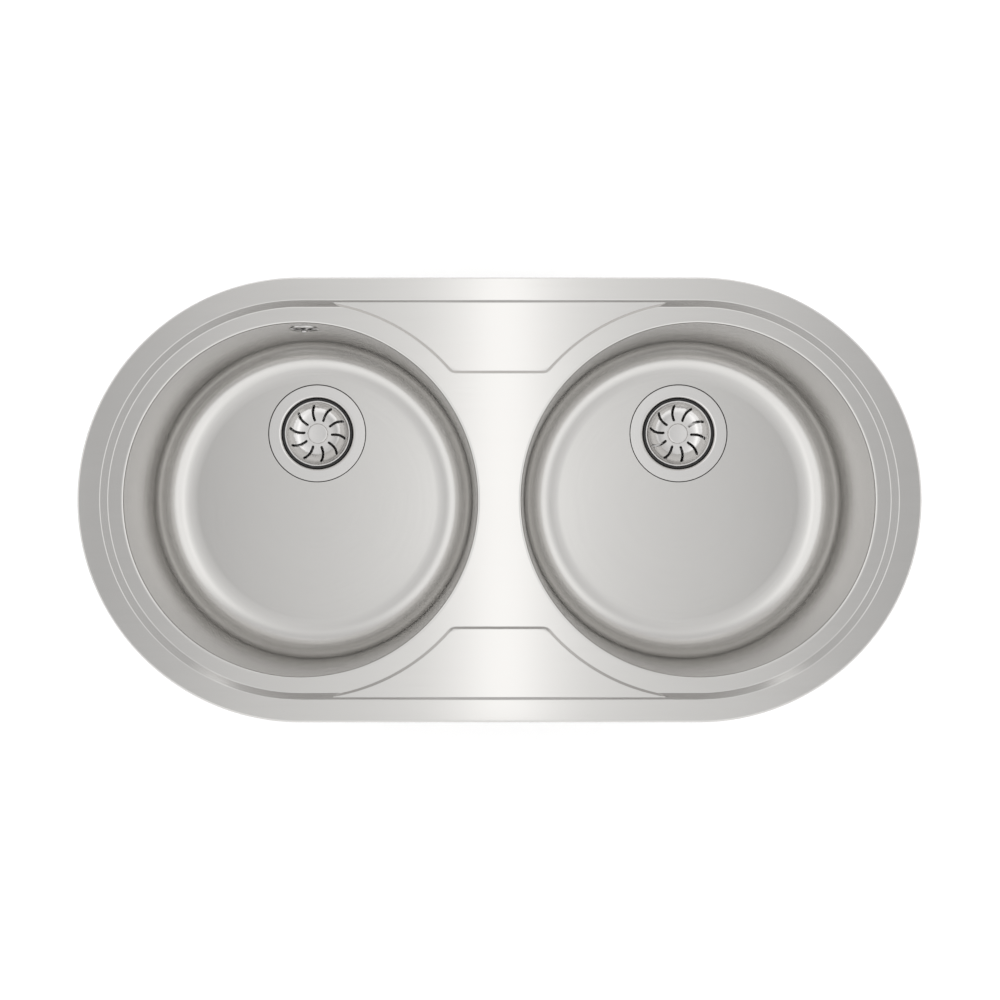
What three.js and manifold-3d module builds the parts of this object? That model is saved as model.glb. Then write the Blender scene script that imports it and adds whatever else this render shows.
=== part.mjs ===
// Inset kitchen sink with two round bowls in one stainless steel deck, seen from above as a stadium.
//
// Frame: millimetres, +X to the right, +Y to the back, +Z up. The origin is the centre of the
// worktop cut-out, in the plane of the worktop's top surface. The rim stands above that plane and
// everything else hangs below it.
//
// The deck is one pressed sheet: a raised rim, two islands at the front and back, and a low band
// that runs round both bowls and between them. The bowls are drawn separately and welded to the
// deck's collars. Each bowl has a basket strainer waste, and the left one has an overflow.

import * as THREE from 'three';
import { mergeVertices } from 'three/addons/utils/BufferGeometryUtils.js';
import Module from 'manifold-3d';

const wasm = await Module();
wasm.setup();

// ---------------------------------------------------------------- driving dimensions, mm and degrees

const DEPTH = 440; // overall, front to back, and the diameter of the round ends
const BRIDGE = 44; // between the two bowls' mouths
const GAP = 0.3; // assembly gap between pieces that rest on each other

const SHEET = 1; // deck sheet
const RIM_HEIGHT = 3; // top of the rim above the worktop
const RIM_WIDTH = 22.3; // outer edge to the top of the pressed slope
const EDGE_ROUND = 2.2; // rolled outer edge
const PRESS_RUN = 6.5; // plan width of the slope around the low band
const BAND_DROP = 3; // low band below the rim
const ISLAND_DROP = 1.3; // front and rear islands below the rim
const ISLAND_START = 127.8; // centreline to the inner edge of an island
const ISLAND_RUN = 3.2; // plan width of the short slope on that edge
const BAND_WIDTH = 11.2; // flat ring round a bowl's mouth
const MOUTH_ROUND = 4.5; // rounding from the band into a bowl
const COLLAR = 3; // straight collar that the bowl is welded to

const BOWL_WALL = 1;
const BOWL_DEPTH = 170; // worktop plane to the bowl floor
const WALL_DRAFT = 2.6; // degrees
const BOTTOM_ROUND = 40; // wall to floor

const CUP_WALL = 1;
const CUP_RADIUS = 38.6; // inside, at the basket's seal
const CUP_DEPTH = 35; // bowl floor to the strainer cup's base
const CUP_TAPER = 3; // well's foot narrower than its top
const LIP_ROUND = 3.4; // flange into the cup
const LEDGE = 2.2; // step that the basket's seal sits on
const CUP_HOLES = 6;
const CUP_WEB = 4.2; // metal left inside and outside the cup's holes
const FLANGE_WIDTH = 10.7; // strainer flange beyond its lip
const FLANGE_PROUD = 0.1; // flange above the bowl floor
const FLANGE_GASKET = 0.7; // thickness
const GASKET_INSET = 1; // gaskets behind the flange's edge and the hole's edge
const HOLE_CLEARANCE = 1.5; // floor hole beyond the cup's lip
const SEAT_CLEARANCE = 1; // pressed seat beyond the flange
const SEAT_SLOPE = 1; // plan width of the seat's side
const DRAIN_MARGIN = 4.3; // flat floor left behind the flange

const SEAL_WIDTH = 2.4; // basket's edge seal
const SEAL_HEIGHT = 3;
const SEAL_SET = 1.6; // seal's top below the flange
const PAN_SHEET = 0.8;
const PAN_DEPTH = 9.2;
const PAN_RIM = 1.2; // flat rim of the pan
const PAN_MARGIN = 3; // flat of the pan beyond the knob
const SLOT_COUNT = 10;
const SLOT_WIDTH = 2.2;
const SLOT_MARGIN = 3.4; // pan's dished edge to the slots' outer ends
const SLOT_PHASE = -6.3; // degrees
const SLOT_LEAN = 16.6; // degrees that a slot turns forward along its length
const SLOT_SWEEP = 24; // degrees that it is drawn back again at its outer end
const KNOB_RADIUS = 11;
const KNOB_HEIGHT = 6;
const KNOB_TOP = 1.6; // thickness of the knob's top
const KNOB_EDGE = 1; // bevel
const STEM_RADIUS = 6;
const STEM_NECK = 3.6; // stem's neck through the pan
const STEM_BEVEL = 1.2;

const BUSH_WALL = 1.7; // guide bush at the cup's centre
const BUSH_HEIGHT = 13;
const BUSH_FLOOR = 1.8; // seat of the long screw above the cup's base
const WASTE_SCREW = 3; // shank radius
const WASTE_HEAD = 3.5; // height
const HEAD_INSET = 0.5; // screw head smaller than the stem above it

const BODY_GASKET = 2.5; // thickness
const BODY_FLANGE = 4; // thickness
const BODY_INSET = 1.7; // waste body's flange behind the strainer's
const BODY_CLEARANCE = 1.7; // cup to the waste body
const BODY_WALL = 2.6;
const BODY_FUNNEL = 16;
const ARM_DROP = 1.5; // cup's base to the arms that hold the long screw
const ARM_HEIGHT = 4.8;
const ARM_WIDTH = 3;
const ARM_COUNT = 3;
const ARM_PHASE = 30; // degrees, keeps the overflow port between two arms
const HUB_DEPTH = 12;
const HUB_FLOOR = 2;
const OUTLET_LENGTH = 28;
const OUTLET_BORE = 21; // radius

const OVERFLOW_DEPTH = 40; // worktop plane to the overflow's axis
const OVERFLOW_HOLE = 12.5; // radius
const OVERFLOW_GASKET = 2.5; // thickness
const ROSETTE_LAP = 3; // rosette beyond the hole
const ROSETTE_SHEET = 1.6;
const ROSETTE_BEVEL = 0.9; // height of the bevelled edge
const ROSETTE_BEVEL_RUN = 2;
const ROSETTE_WINDOWS = 6;
const WINDOW_START = 4.6; // radius
const WINDOW_MARGIN = 0.9; // window behind the hole's edge
const WINDOW_BAR = 23; // degrees taken by the bar between two windows
const ROSETTE_SCREW = 1.6; // shank radius
const ROSETTE_HEAD = 3.6; // radius
const HEAD_HEIGHT = 1.8;
const HEAD_ROUND = 1.2;
const ELBOW_LAP = 1.5; // elbow's chamber beyond the hole
const ELBOW_FLANGE = 2.5; // thickness, and width beyond the chamber
const ELBOW_DEPTH = 18;
const ELBOW_WALL = 2;
const SPIGOT_SET = 10; // flange to the spigot's axis
const SPIGOT_RADIUS = 7.6;
const SPIGOT_LENGTH = 22;
const SPIGOT_WALL = 1.4;
const HOSE_STOP = 0.8; // hose's end short of the waste body
const HOSE_WALL = 1.3;
const HOSE_RIB = 1.4; // crest above root
const HOSE_RIBS = 28;
const HOSE_BEND = 36; // radius of the bend under the bowl
const CLAMP_WIDTH = 9;
const CLAMP_SHEET = 1.1;
const CLAMP_HOUSING = 12; // length of the screw housing
const CLAMP_HEIGHT = 6; // housing above the band

const WORKTOP = 38; // thickness that the clips are set for
const SEAL_STRIP = 6; // width of the foam strip under the rim
const CLIP_SHEET = 1.5;
const CLIP_WIDTH = 22;
const CLIP_FOOT = 9.4; // welded foot
const CLIP_MARGIN = 1; // foot behind the mouth's rounding
const CLIP_SET = 6.8; // screw beyond the foot of the pressed slope
const CLIP_LIP = 7; // lower lip beyond the screw
const CLIP_DROP = 14; // band's underside to the clip's lower lip
const CLIP_SPAN = 95; // clips on the long sides, from the middle
const CLIP_ANGLE = 40; // clips on the round ends, degrees from the long axis
const CLIP_SCREW = 2.5; // shank radius
const SCREW_PROUD = 3; // screw's end above the lip
const SCREW_HEAD = 4.6; // radius
const SCREW_HEAD_HEIGHT = 3.4;
const CLAW_SHEET = 2;
const CLAW_WIDTH = 16;
const CLAW_REACH = 19.5; // screw axis to the tooth's outer face
const CLAW_TAIL = 9; // arm behind the screw
const CLAW_TOOTH = 4; // tooth above the arm

const PAD_RADIUS = 55;
const PAD_SHEET = 2.5;

const ROUND_STEPS = 40; // facets round a bowl
const END_STEPS = 22; // facets round half of the deck
const PART_STEPS = 24; // facets round the strainer and its basket
const HIDDEN_STEPS = 20; // facets round the pieces under the bowls
const SMALL_STEPS = 12; // facets round pins, hubs and spigots
const ELBOW_STEPS = 16; // facets round the overflow, the clamps and the basket stems
const COARSE_STEPS = 8; // facets round the clips' screws and the small holes
const HOSE_SIDES = 8;

const CUT = 5; // a cutting tool runs this far past what it cuts
const LAP = 1; // two solids that are joined share this much

// ---------------------------------------------------------------- sizes that follow

const endRadius = DEPTH / 2;
const edgeRound = Math.min(EDGE_ROUND, RIM_HEIGHT - 2 * GAP);
const slopeTop = endRadius - RIM_WIDTH;
const slopeFoot = slopeTop - PRESS_RUN;
const mouthFlat = slopeFoot - BAND_WIDTH;
const mouthRadius = mouthFlat - MOUTH_ROUND;
const endX = mouthRadius + BRIDGE / 2; // centre of a round end, and of its bowl
const bandZ = RIM_HEIGHT - BAND_DROP;
const islandZ = RIM_HEIGHT - ISLAND_DROP;

const draft = THREE.MathUtils.degToRad(WALL_DRAFT);
const wallTopZ = bandZ - MOUTH_ROUND;
const wallRadius = (z) => mouthRadius - (wallTopZ - z) * Math.tan(draft);
const floorZ = -BOWL_DEPTH;
const bottomCentreZ = floorZ + BOTTOM_ROUND;
const bottomStartZ = bottomCentreZ - BOTTOM_ROUND * Math.sin(draft);
const floorRadius = wallRadius(bottomStartZ) - BOTTOM_ROUND * Math.cos(draft);

const lipRadius = CUP_RADIUS + LIP_ROUND;
const flangeRadius = lipRadius + FLANGE_WIDTH;
const floorHole = lipRadius + HOLE_CLEARANCE;
const drainY = floorRadius - flangeRadius - DRAIN_MARGIN;
const flangeZ = floorZ + FLANGE_PROUD; // top of the flange
const seatZ = flangeZ - CUP_WALL - FLANGE_GASKET - 2 * GAP;
const sealZ = flangeZ - SEAL_SET; // top of the basket's seal
const ledgeZ = sealZ - SEAL_HEIGHT - GAP;
const sealRadius = CUP_RADIUS - GAP;
const panRadius = sealRadius - SEAL_WIDTH - GAP;
const panDish = panRadius - PAN_RIM;
const panFlat = KNOB_RADIUS + PAN_MARGIN;
const panZ = sealZ - PAN_DEPTH; // top of the pan's flat centre
const cupBaseZ = floorZ - CUP_DEPTH;
const bushBore = STEM_RADIUS + GAP;
const bushRadius = bushBore + BUSH_WALL;
const screwSeatZ = cupBaseZ + BUSH_FLOOR;
const screwHeadZ = screwSeatZ + GAP + WASTE_HEAD;
const stemFootZ = screwHeadZ + GAP;

const bodyZ = seatZ - BOWL_WALL - BODY_GASKET - 2 * GAP; // top of the waste body
const bodyFlangeRadius = flangeRadius - BODY_INSET;
const bodyBore = CUP_RADIUS + CUP_WALL + BODY_CLEARANCE;
const armZ = cupBaseZ - CUP_WALL - ARM_DROP; // top of the arms that hold the long screw
const wellZ = armZ - ARM_HEIGHT; // foot of the waste body's straight part
const outletZ = wellZ - BODY_FUNNEL;
const outletEndZ = outletZ - OUTLET_LENGTH;
const hubBoreZ = armZ - HUB_DEPTH + HUB_FLOOR;
const portZ = (bodyZ - BODY_FLANGE + wellZ) / 2; // overflow port, midway down the straight part
const portRoot = bodyBore + BODY_WALL;

const clipRadius = slopeFoot + CLIP_SET; // clip screws, from the nearest round end's centre
const drains = { left: -endX, right: endX };

// ---------------------------------------------------------------- materials

const finish = (color, metalness, roughness) =>
  new THREE.MeshStandardMaterial({ color, metalness, roughness });
const satinSteel = finish('#c9c6c2', 1, 0.3);
const polishedSteel = finish('#d6d4d1', 1, 0.18);
const zincSteel = finish('#b4b8bd', 1, 0.42);
const blackRubber = finish('#1a1a1a', 0, 0.75);
const greyFoam = finish('#5c5c5c', 0, 0.95);
const padBitumen = finish('#3a3a3c', 0, 0.9);
const whitePlastic = finish('#e8e7e3', 0, 0.4);
const greyPlastic = finish('#a9abad', 0, 0.45);

// ---------------------------------------------------------------- making solids

// Keeps only merged positions, drops collapsed triangles and turns the faces outward.
function weld(geometry) {
  const bare = new THREE.BufferGeometry();
  bare.setAttribute('position', geometry.getAttribute('position').clone());
  if (geometry.index) bare.setIndex(geometry.index.clone());
  const merged = mergeVertices(bare, 1e-4);
  const { array: points } = merged.getAttribute('position');
  const corner = (i) => new THREE.Vector3().fromArray(points, 3 * i);
  const triangles = [];
  let volume = 0;
  for (let i = 0; i < merged.index.count; i += 3) {
    const [a, b, c] = [0, 1, 2].map((k) => merged.index.getX(i + k));
    if (a === b || b === c || c === a) continue;
    triangles.push(a, b, c);
    volume += corner(a).dot(corner(b).cross(corner(c)));
  }
  if (volume < 0) triangles.reverse();
  merged.setIndex(triangles);
  return merged;
}

function solidOf(geometry) {
  const welded = weld(geometry);
  return new wasm.Manifold(new wasm.Mesh({
    numProp: 3,
    vertProperties: Float32Array.from(welded.getAttribute('position').array),
    triVerts: Uint32Array.from(welded.index.array),
  }));
}

function geometryOf(solid) {
  const { vertProperties, triVerts } = solid.getMesh();
  const geometry = new THREE.BufferGeometry();
  geometry.setAttribute('position', new THREE.BufferAttribute(vertProperties, 3));
  geometry.setIndex(new THREE.BufferAttribute(triVerts, 1));
  return geometry;
}

function join(...pieces) {
  return geometryOf(pieces.map(solidOf).reduce((all, next) => all.add(next)));
}

function cut(body, ...tools) {
  return geometryOf(tools.map(solidOf).reduce((left, tool) => left.subtract(tool), solidOf(body)));
}

// Points on an arc in a profile of [radius, z] pairs, angles in degrees from the outward direction.
function arc(r, z, radius, from, to, steps) {
  return Array.from({ length: steps + 1 }, (_, i) => {
    const angle = THREE.MathUtils.degToRad(from + ((to - from) * i) / steps);
    return [r + radius * Math.cos(angle), z + radius * Math.sin(angle)];
  });
}

// Solid of revolution about Z from a closed profile of [radius, z] pairs.
function turned(profile, steps = PART_STEPS) {
  const points = [...profile, profile[0]].map(([r, z]) => new THREE.Vector2(r, z));
  return new THREE.LatheGeometry(points, steps).rotateX(Math.PI / 2);
}

function rod(radius, low, high, steps = SMALL_STEPS) {
  return turned([[0, low], [radius, low], [radius, high], [0, high]], steps);
}

function ring(inner, outer, low, high, steps = PART_STEPS) {
  return turned([[inner, low], [outer, low], [outer, high], [inner, high]], steps);
}

function block(x0, x1, y0, y1, z0, z1) {
  const box = new THREE.BoxGeometry(x1 - x0, y1 - y0, z1 - z0);
  return box.translate((x0 + x1) / 2, (y0 + y1) / 2, (z0 + z1) / 2);
}

// Closed solid through rings of equal point count, given from the bottom up as [outline, z].
function loft(levels) {
  const count = levels[0][0].length;
  const positions = levels.flatMap(([outline, z]) => outline.flatMap((p) => [p.x, p.y, z]));
  const faces = [];
  for (let k = 0; k + 1 < levels.length; k += 1) {
    for (let i = 0; i < count; i += 1) {
      const [a, b] = [k * count + i, k * count + ((i + 1) % count)];
      faces.push(a, b, b + count, a, b + count, a + count);
    }
  }
  const top = (levels.length - 1) * count;
  for (const [a, b, c] of THREE.ShapeUtils.triangulateShape(levels[0][0], [])) faces.push(a, c, b);
  for (const [a, b, c] of THREE.ShapeUtils.triangulateShape(levels.at(-1)[0], [])) {
    faces.push(top + a, top + b, top + c);
  }
  const geometry = new THREE.BufferGeometry();
  geometry.setAttribute('position', new THREE.Float32BufferAttribute(positions, 3));
  geometry.setIndex(faces);
  return geometry;
}

// Bent strip: an outline of [x, z] pairs, given anticlockwise, with the strip's width along Y.
function strip(outline, width) {
  const shape = new THREE.Shape(outline.map(([x, z]) => new THREE.Vector2(x, z)));
  const geometry = new THREE.ExtrudeGeometry(shape, { depth: width, bevelEnabled: false });
  return geometry.rotateX(Math.PI / 2).translate(0, width / 2, 0);
}

const sink = new THREE.Group();

function place(name, geometry, material, parent = sink) {
  const flat = weld(geometry).toNonIndexed();
  flat.computeVertexNormals();
  const mesh = new THREE.Mesh(flat, material.clone());
  mesh.name = name;
  parent.add(mesh);
  return mesh;
}

function placedGroup(x, y, z) {
  const group = new THREE.Group();
  group.position.set(x, y, z);
  sink.add(group);
  return group;
}

// ---------------------------------------------------------------- deck

// The deck's outline, or a line parallel to it, at a radius about the round ends' centres.
function stadium(radius) {
  const points = [];
  for (const [centre, start] of [[endX, -Math.PI / 2], [-endX, Math.PI / 2]]) {
    for (let i = 0; i <= END_STEPS; i += 1) {
      const angle = start + (Math.PI * i) / END_STEPS;
      points.push(new THREE.Vector2(centre + radius * Math.cos(angle), radius * Math.sin(angle)));
    }
  }
  return points;
}

// An island's outline at the back: round the two bowls at one radius, straight across at y = start.
function islandOutline(radius, start) {
  const steps = 7;
  const outer = slopeTop + LAP;
  const first = Math.asin(start / radius);
  const points = [new THREE.Vector2(endX, outer), new THREE.Vector2(-endX, outer)];
  for (let i = 0; i <= steps; i += 1) {
    const angle = Math.PI / 2 + ((first - Math.PI / 2) * i) / steps;
    points.push(new THREE.Vector2(-endX + radius * Math.cos(angle), radius * Math.sin(angle)));
  }
  return [...points, ...points.slice(2).reverse().map((p) => new THREE.Vector2(-p.x, p.y))];
}

// All the space under the deck's pressed surface. The underside is the same form, one sheet lower.
function underSurface(sheet) {
  const baseZ = bandZ - COLLAR - MOUTH_ROUND - CUT - sheet;
  const edge = arc(
    endRadius - edgeRound, RIM_HEIGHT - edgeRound, edgeRound - sheet, 0, 90, sheet > 0 ? 2 : 3,
  );
  const foot = sheet > 0
    ? [[endRadius + CUT, baseZ], [endRadius + CUT, GAP], [endRadius - sheet, GAP]]
    : [[endRadius, baseZ]];
  const mass = loft([...foot, ...edge].map(([r, z]) => [stadium(r), z]));
  const pocket = loft([
    [stadium(slopeFoot), bandZ - sheet],
    [stadium(slopeTop + (CUT * PRESS_RUN) / BAND_DROP), RIM_HEIGHT - sheet + CUT],
  ]);
  const back = loft([
    [islandOutline(slopeFoot, ISLAND_START - ISLAND_RUN), baseZ + LAP],
    [islandOutline(slopeFoot, ISLAND_START - ISLAND_RUN), bandZ - sheet],
    [islandOutline(slopeTop, ISLAND_START), islandZ - sheet],
  ]);
  return join(cut(mass, pocket), back, back.clone().rotateZ(Math.PI));
}

// Rounded lip and collar of a bowl's mouth, reaching a little into the flat band.
function mouthRing() {
  return turned([
    [mouthFlat + 2 * LAP, bandZ],
    ...arc(mouthFlat, wallTopZ, MOUTH_ROUND, 90, 180, 3),
    [wallRadius(wallTopZ - COLLAR), wallTopZ - COLLAR],
    [wallRadius(wallTopZ - COLLAR) + SHEET, wallTopZ - COLLAR],
    ...arc(mouthFlat, wallTopZ, MOUTH_ROUND - SHEET, 180, 90, 1),
    [mouthFlat + 2 * LAP, bandZ - SHEET],
  ], ROUND_STEPS);
}

const mouthCut = rod(mouthFlat + LAP, wallTopZ - COLLAR - 2 * CUT, RIM_HEIGHT + CUT, ROUND_STEPS);
const atBowls = (geometry) => [-endX, endX].map((x) => geometry.clone().translate(x, 0, 0));
const pressing = cut(underSurface(0), underSurface(SHEET), ...atBowls(mouthCut));
place('deck', join(pressing, ...atBowls(mouthRing())), satinSteel);

const stripOuter = endRadius - edgeRound - GAP;
const stripInner = stripOuter - SEAL_STRIP;
place('rim_seal', cut(
  loft([[stadium(stripOuter), 0], [stadium(stripOuter), RIM_HEIGHT - SHEET - GAP]]),
  loft([[stadium(stripInner), -CUT], [stadium(stripInner), RIM_HEIGHT + CUT]]),
), greyFoam);

// ---------------------------------------------------------------- bowls

function bowlShell() {
  const topZ = wallTopZ - COLLAR - GAP;
  return turned([
    [wallRadius(topZ), topZ],
    ...arc(floorRadius, bottomCentreZ, BOTTOM_ROUND, -WALL_DRAFT, -90, 6),
    [0, floorZ],
    [0, floorZ - BOWL_WALL],
    ...arc(floorRadius, bottomCentreZ, BOTTOM_ROUND + BOWL_WALL, -90, -WALL_DRAFT, 5),
    [wallRadius(topZ) + BOWL_WALL / Math.cos(draft), topZ],
  ], ROUND_STEPS);
}

const seatRadius = flangeRadius + SEAT_CLEARANCE;
const seatRim = seatRadius + SEAT_SLOPE;

// Pressed seat round the drain hole, so that the strainer's flange lies level with the floor.
function drainSeat() {
  return turned([
    [seatRim + LAP, floorZ],
    [seatRim, floorZ],
    [seatRadius, seatZ],
    [floorHole, seatZ],
    [floorHole, seatZ - BOWL_WALL],
    [seatRim, seatZ - BOWL_WALL],
    [seatRim + LAP, floorZ - BOWL_WALL],
  ]).translate(0, drainY, 0);
}

function bowl() {
  const opening = rod(seatRim + LAP / 2, floorZ - BOWL_WALL - CUT, floorZ + CUT, PART_STEPS);
  return join(cut(bowlShell(), opening.translate(0, drainY, 0)), drainSeat());
}

const overflowY = wallRadius(-OVERFLOW_DEPTH);
const overflowHole = rod(OVERFLOW_HOLE, -BOWL_WALL - CUT, CUT, ELBOW_STEPS)
  .rotateX(Math.PI / 2 - draft)
  .translate(0, overflowY, -OVERFLOW_DEPTH);
place('bowl_left', cut(bowl(), overflowHole).translate(-endX, 0, 0), satinSteel);
place('bowl_right', bowl().translate(endX, 0, 0), satinSteel);

for (const [side, x] of Object.entries(drains)) {
  const topZ = floorZ - BOWL_WALL - GAP;
  const pad = rod(PAD_RADIUS, topZ - PAD_SHEET, topZ, HIDDEN_STEPS).translate(x, -PAD_RADIUS, 0);
  place(`sound_pad_${side}`, pad, padBitumen);
}

// ---------------------------------------------------------------- basket strainer wastes

function strainerCup() {
  const wellTop = CUP_RADIUS - LEDGE;
  const wellFoot = wellTop - CUP_TAPER;
  const shank = WASTE_SCREW + GAP;
  const base = turned([
    [flangeRadius, flangeZ - CUP_WALL],
    [flangeRadius, flangeZ - CUP_WALL / 2],
    [flangeRadius - CUP_WALL / 2, flangeZ],
    ...arc(lipRadius, flangeZ - LIP_ROUND, LIP_ROUND, 90, 180, 3),
    [CUP_RADIUS, ledgeZ],
    [wellTop, ledgeZ],
    [wellFoot, cupBaseZ],
    [bushRadius, cupBaseZ],
    [bushRadius, cupBaseZ + BUSH_HEIGHT],
    [bushBore, cupBaseZ + BUSH_HEIGHT],
    [bushBore, screwSeatZ],
    [shank, screwSeatZ],
    [shank, cupBaseZ - CUP_WALL],
    [wellFoot + CUP_WALL, cupBaseZ - CUP_WALL],
    [wellTop + CUP_WALL, ledgeZ - CUP_WALL],
    [CUP_RADIUS + CUP_WALL, ledgeZ - CUP_WALL],
    ...arc(lipRadius, flangeZ - LIP_ROUND, LIP_ROUND - CUP_WALL, 180, 90, 1),
  ]);
  const holeRadius = (wellFoot - bushRadius) / 2 - CUP_WEB;
  const holes = Array.from({ length: CUP_HOLES }, (_, i) => {
    const hole = rod(holeRadius, cupBaseZ - CUP_WALL - CUT, cupBaseZ + CUT, COARSE_STEPS);
    return hole.translate((wellFoot + bushRadius) / 2, 0, 0).rotateZ((2 * Math.PI * i) / CUP_HOLES);
  });
  return cut(base, ...holes);
}

function wasteShell() {
  return turned([
    [bodyFlangeRadius, bodyZ],
    [bodyBore, bodyZ],
    [bodyBore, wellZ],
    [OUTLET_BORE, outletZ],
    [OUTLET_BORE, outletEndZ],
    [OUTLET_BORE + BODY_WALL, outletEndZ],
    [OUTLET_BORE + BODY_WALL, outletZ],
    [bodyBore + BODY_WALL, wellZ],
    [bodyBore + BODY_WALL, bodyZ - BODY_FLANGE],
    [bodyFlangeRadius, bodyZ - BODY_FLANGE],
  ], HIDDEN_STEPS);
}

// Waste body with arms that hold the hub for the long screw. The port's spigot points back.
function wasteBody(withPort) {
  const arm = block(0, bodyBore + BODY_WALL / 2, -ARM_WIDTH / 2, ARM_WIDTH / 2, wellZ, armZ);
  const phase = THREE.MathUtils.degToRad(ARM_PHASE);
  const arms = Array.from({ length: ARM_COUNT },
    (_, i) => arm.clone().rotateZ(phase + (2 * Math.PI * i) / ARM_COUNT));
  const hub = rod(bushRadius, armZ - HUB_DEPTH, armZ);
  const body = cut(join(wasteShell(), ...arms, hub), rod(WASTE_SCREW + GAP, hubBoreZ, armZ + CUT));
  if (!withPort) return body;
  const backward = (tube) => tube.rotateX(-Math.PI / 2).translate(0, 0, portZ);
  const port = backward(rod(SPIGOT_RADIUS, bodyBore + BODY_WALL / 2, portRoot + SPIGOT_LENGTH));
  const bore = backward(rod(SPIGOT_RADIUS - SPIGOT_WALL, bodyBore - BODY_WALL,
    portRoot + SPIGOT_LENGTH + CUT));
  return cut(join(body, port), bore);
}

function wasteScrew() {
  const head = STEM_RADIUS - HEAD_INSET;
  const bevel = HEAD_INSET;
  const endZ = hubBoreZ + 2 * GAP;
  return turned([
    [0, screwHeadZ],
    [head - bevel, screwHeadZ],
    [head, screwHeadZ - bevel],
    [head, screwSeatZ + GAP],
    [WASTE_SCREW, screwSeatZ + GAP],
    [WASTE_SCREW, endZ],
    [0, endZ],
  ], SMALL_STEPS);
}

// One swirled slot: an arm that leans forward and then sweeps back, cut straight down.
function basketSlot(index) {
  const [inner, outer] = [panFlat, panDish - SLOT_MARGIN];
  const steps = 3;
  const start = SLOT_PHASE + (360 / SLOT_COUNT) * index;
  const along = Array.from({ length: steps + 1 }, (_, i) => {
    const s = i / steps;
    const angle = THREE.MathUtils.degToRad(start + SLOT_LEAN * s - SLOT_SWEEP * s * s);
    const radius = inner + (outer - inner) * s;
    return new THREE.Vector2(Math.cos(angle), Math.sin(angle)).multiplyScalar(radius);
  });
  const side = (offset) => along.map((p, i) => {
    const ahead = along[Math.min(i + 1, steps)].clone().sub(along[Math.max(i - 1, 0)]).normalize();
    return new THREE.Vector2(p.x - ahead.y * offset, p.y + ahead.x * offset);
  });
  const outline = [...side(-SLOT_WIDTH / 2), ...side(SLOT_WIDTH / 2).reverse()];
  return loft([[outline, panZ - CUT], [outline, sealZ + CUT]]);
}

function basketPan() {
  const steps = 4;
  const dish = (offset) => Array.from({ length: steps + 1 }, (_, i) => {
    const angle = (Math.PI / 2) * (1 - i / steps);
    const r = panFlat + (panDish - panFlat + offset) * Math.sin(angle);
    return [r, sealZ - (PAN_DEPTH + offset) * Math.cos(angle)];
  });
  const underside = dish(PAN_SHEET).slice(1).reverse();
  const blank = turned([
    [panRadius, sealZ],
    ...dish(0),
    [STEM_NECK + GAP, panZ],
    [STEM_NECK + GAP, panZ - PAN_SHEET],
    ...underside,
    [panDish + PAN_SHEET, sealZ - PAN_SHEET],
    [panRadius, sealZ - PAN_SHEET],
  ]);
  return cut(blank, ...Array.from({ length: SLOT_COUNT }, (_, i) => basketSlot(i)));
}

const knobZ = panZ + GAP + KNOB_HEIGHT; // top of the knob
const neckZ = knobZ - KNOB_TOP - GAP; // top of the stem's neck inside the knob

function basketKnob() {
  const dip = KNOB_EDGE / 2;
  return turned([
    [0, knobZ - dip],
    [KNOB_RADIUS - 2 * KNOB_EDGE, knobZ],
    [KNOB_RADIUS - KNOB_EDGE, knobZ],
    [KNOB_RADIUS, knobZ - KNOB_EDGE],
    [KNOB_RADIUS, panZ + GAP],
    [STEM_NECK + GAP, panZ + GAP],
    [STEM_NECK + GAP, knobZ - KNOB_TOP],
    [0, knobZ - KNOB_TOP],
  ]);
}

function basketStem() {
  const shoulderZ = panZ - PAN_SHEET - GAP;
  return turned([
    [0, neckZ],
    [STEM_NECK, neckZ],
    [STEM_NECK, shoulderZ],
    [STEM_RADIUS, shoulderZ],
    [STEM_RADIUS, stemFootZ + STEM_BEVEL],
    [STEM_RADIUS - STEM_BEVEL, stemFootZ],
    [0, stemFootZ],
  ], ELBOW_STEPS);
}

const flangeGasketZ = seatZ + GAP;
const bodyGasketZ = bodyZ + GAP;
const makeFlangeGasket = () => ring(floorHole + GASKET_INSET / 2, flangeRadius - GASKET_INSET,
  flangeGasketZ, flangeGasketZ + FLANGE_GASKET);
const makeBodyGasket = () => ring(bodyBore, bodyFlangeRadius,
  bodyGasketZ, bodyGasketZ + BODY_GASKET, HIDDEN_STEPS);
const makeBasketSeal = () => ring(sealRadius - SEAL_WIDTH, sealRadius, sealZ - SEAL_HEIGHT, sealZ);

for (const [side, x] of Object.entries(drains)) {
  const waste = placedGroup(x, drainY, 0);
  place(`strainer_cup_${side}`, strainerCup(), polishedSteel, waste);
  place(`flange_gasket_${side}`, makeFlangeGasket(), blackRubber, waste);
  place(`body_gasket_${side}`, makeBodyGasket(), blackRubber, waste);
  place(`waste_body_${side}`, wasteBody(side === 'left'), whitePlastic, waste);
  place(`waste_screw_${side}`, wasteScrew(), polishedSteel, waste);
  place(`basket_pan_${side}`, basketPan(), polishedSteel, waste);
  place(`basket_seal_${side}`, makeBasketSeal(), blackRubber, waste);
  place(`basket_knob_${side}`, basketKnob(), polishedSteel, waste);
  place(`basket_stem_${side}`, basketStem(), greyPlastic, waste);
}

// ---------------------------------------------------------------- overflow

// The group's +Z points from the wall into the bowl, and its -Y down along the wall.
const overflow = placedGroup(-endX, overflowY, -OVERFLOW_DEPTH);
overflow.rotation.x = Math.PI / 2 - draft;

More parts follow.
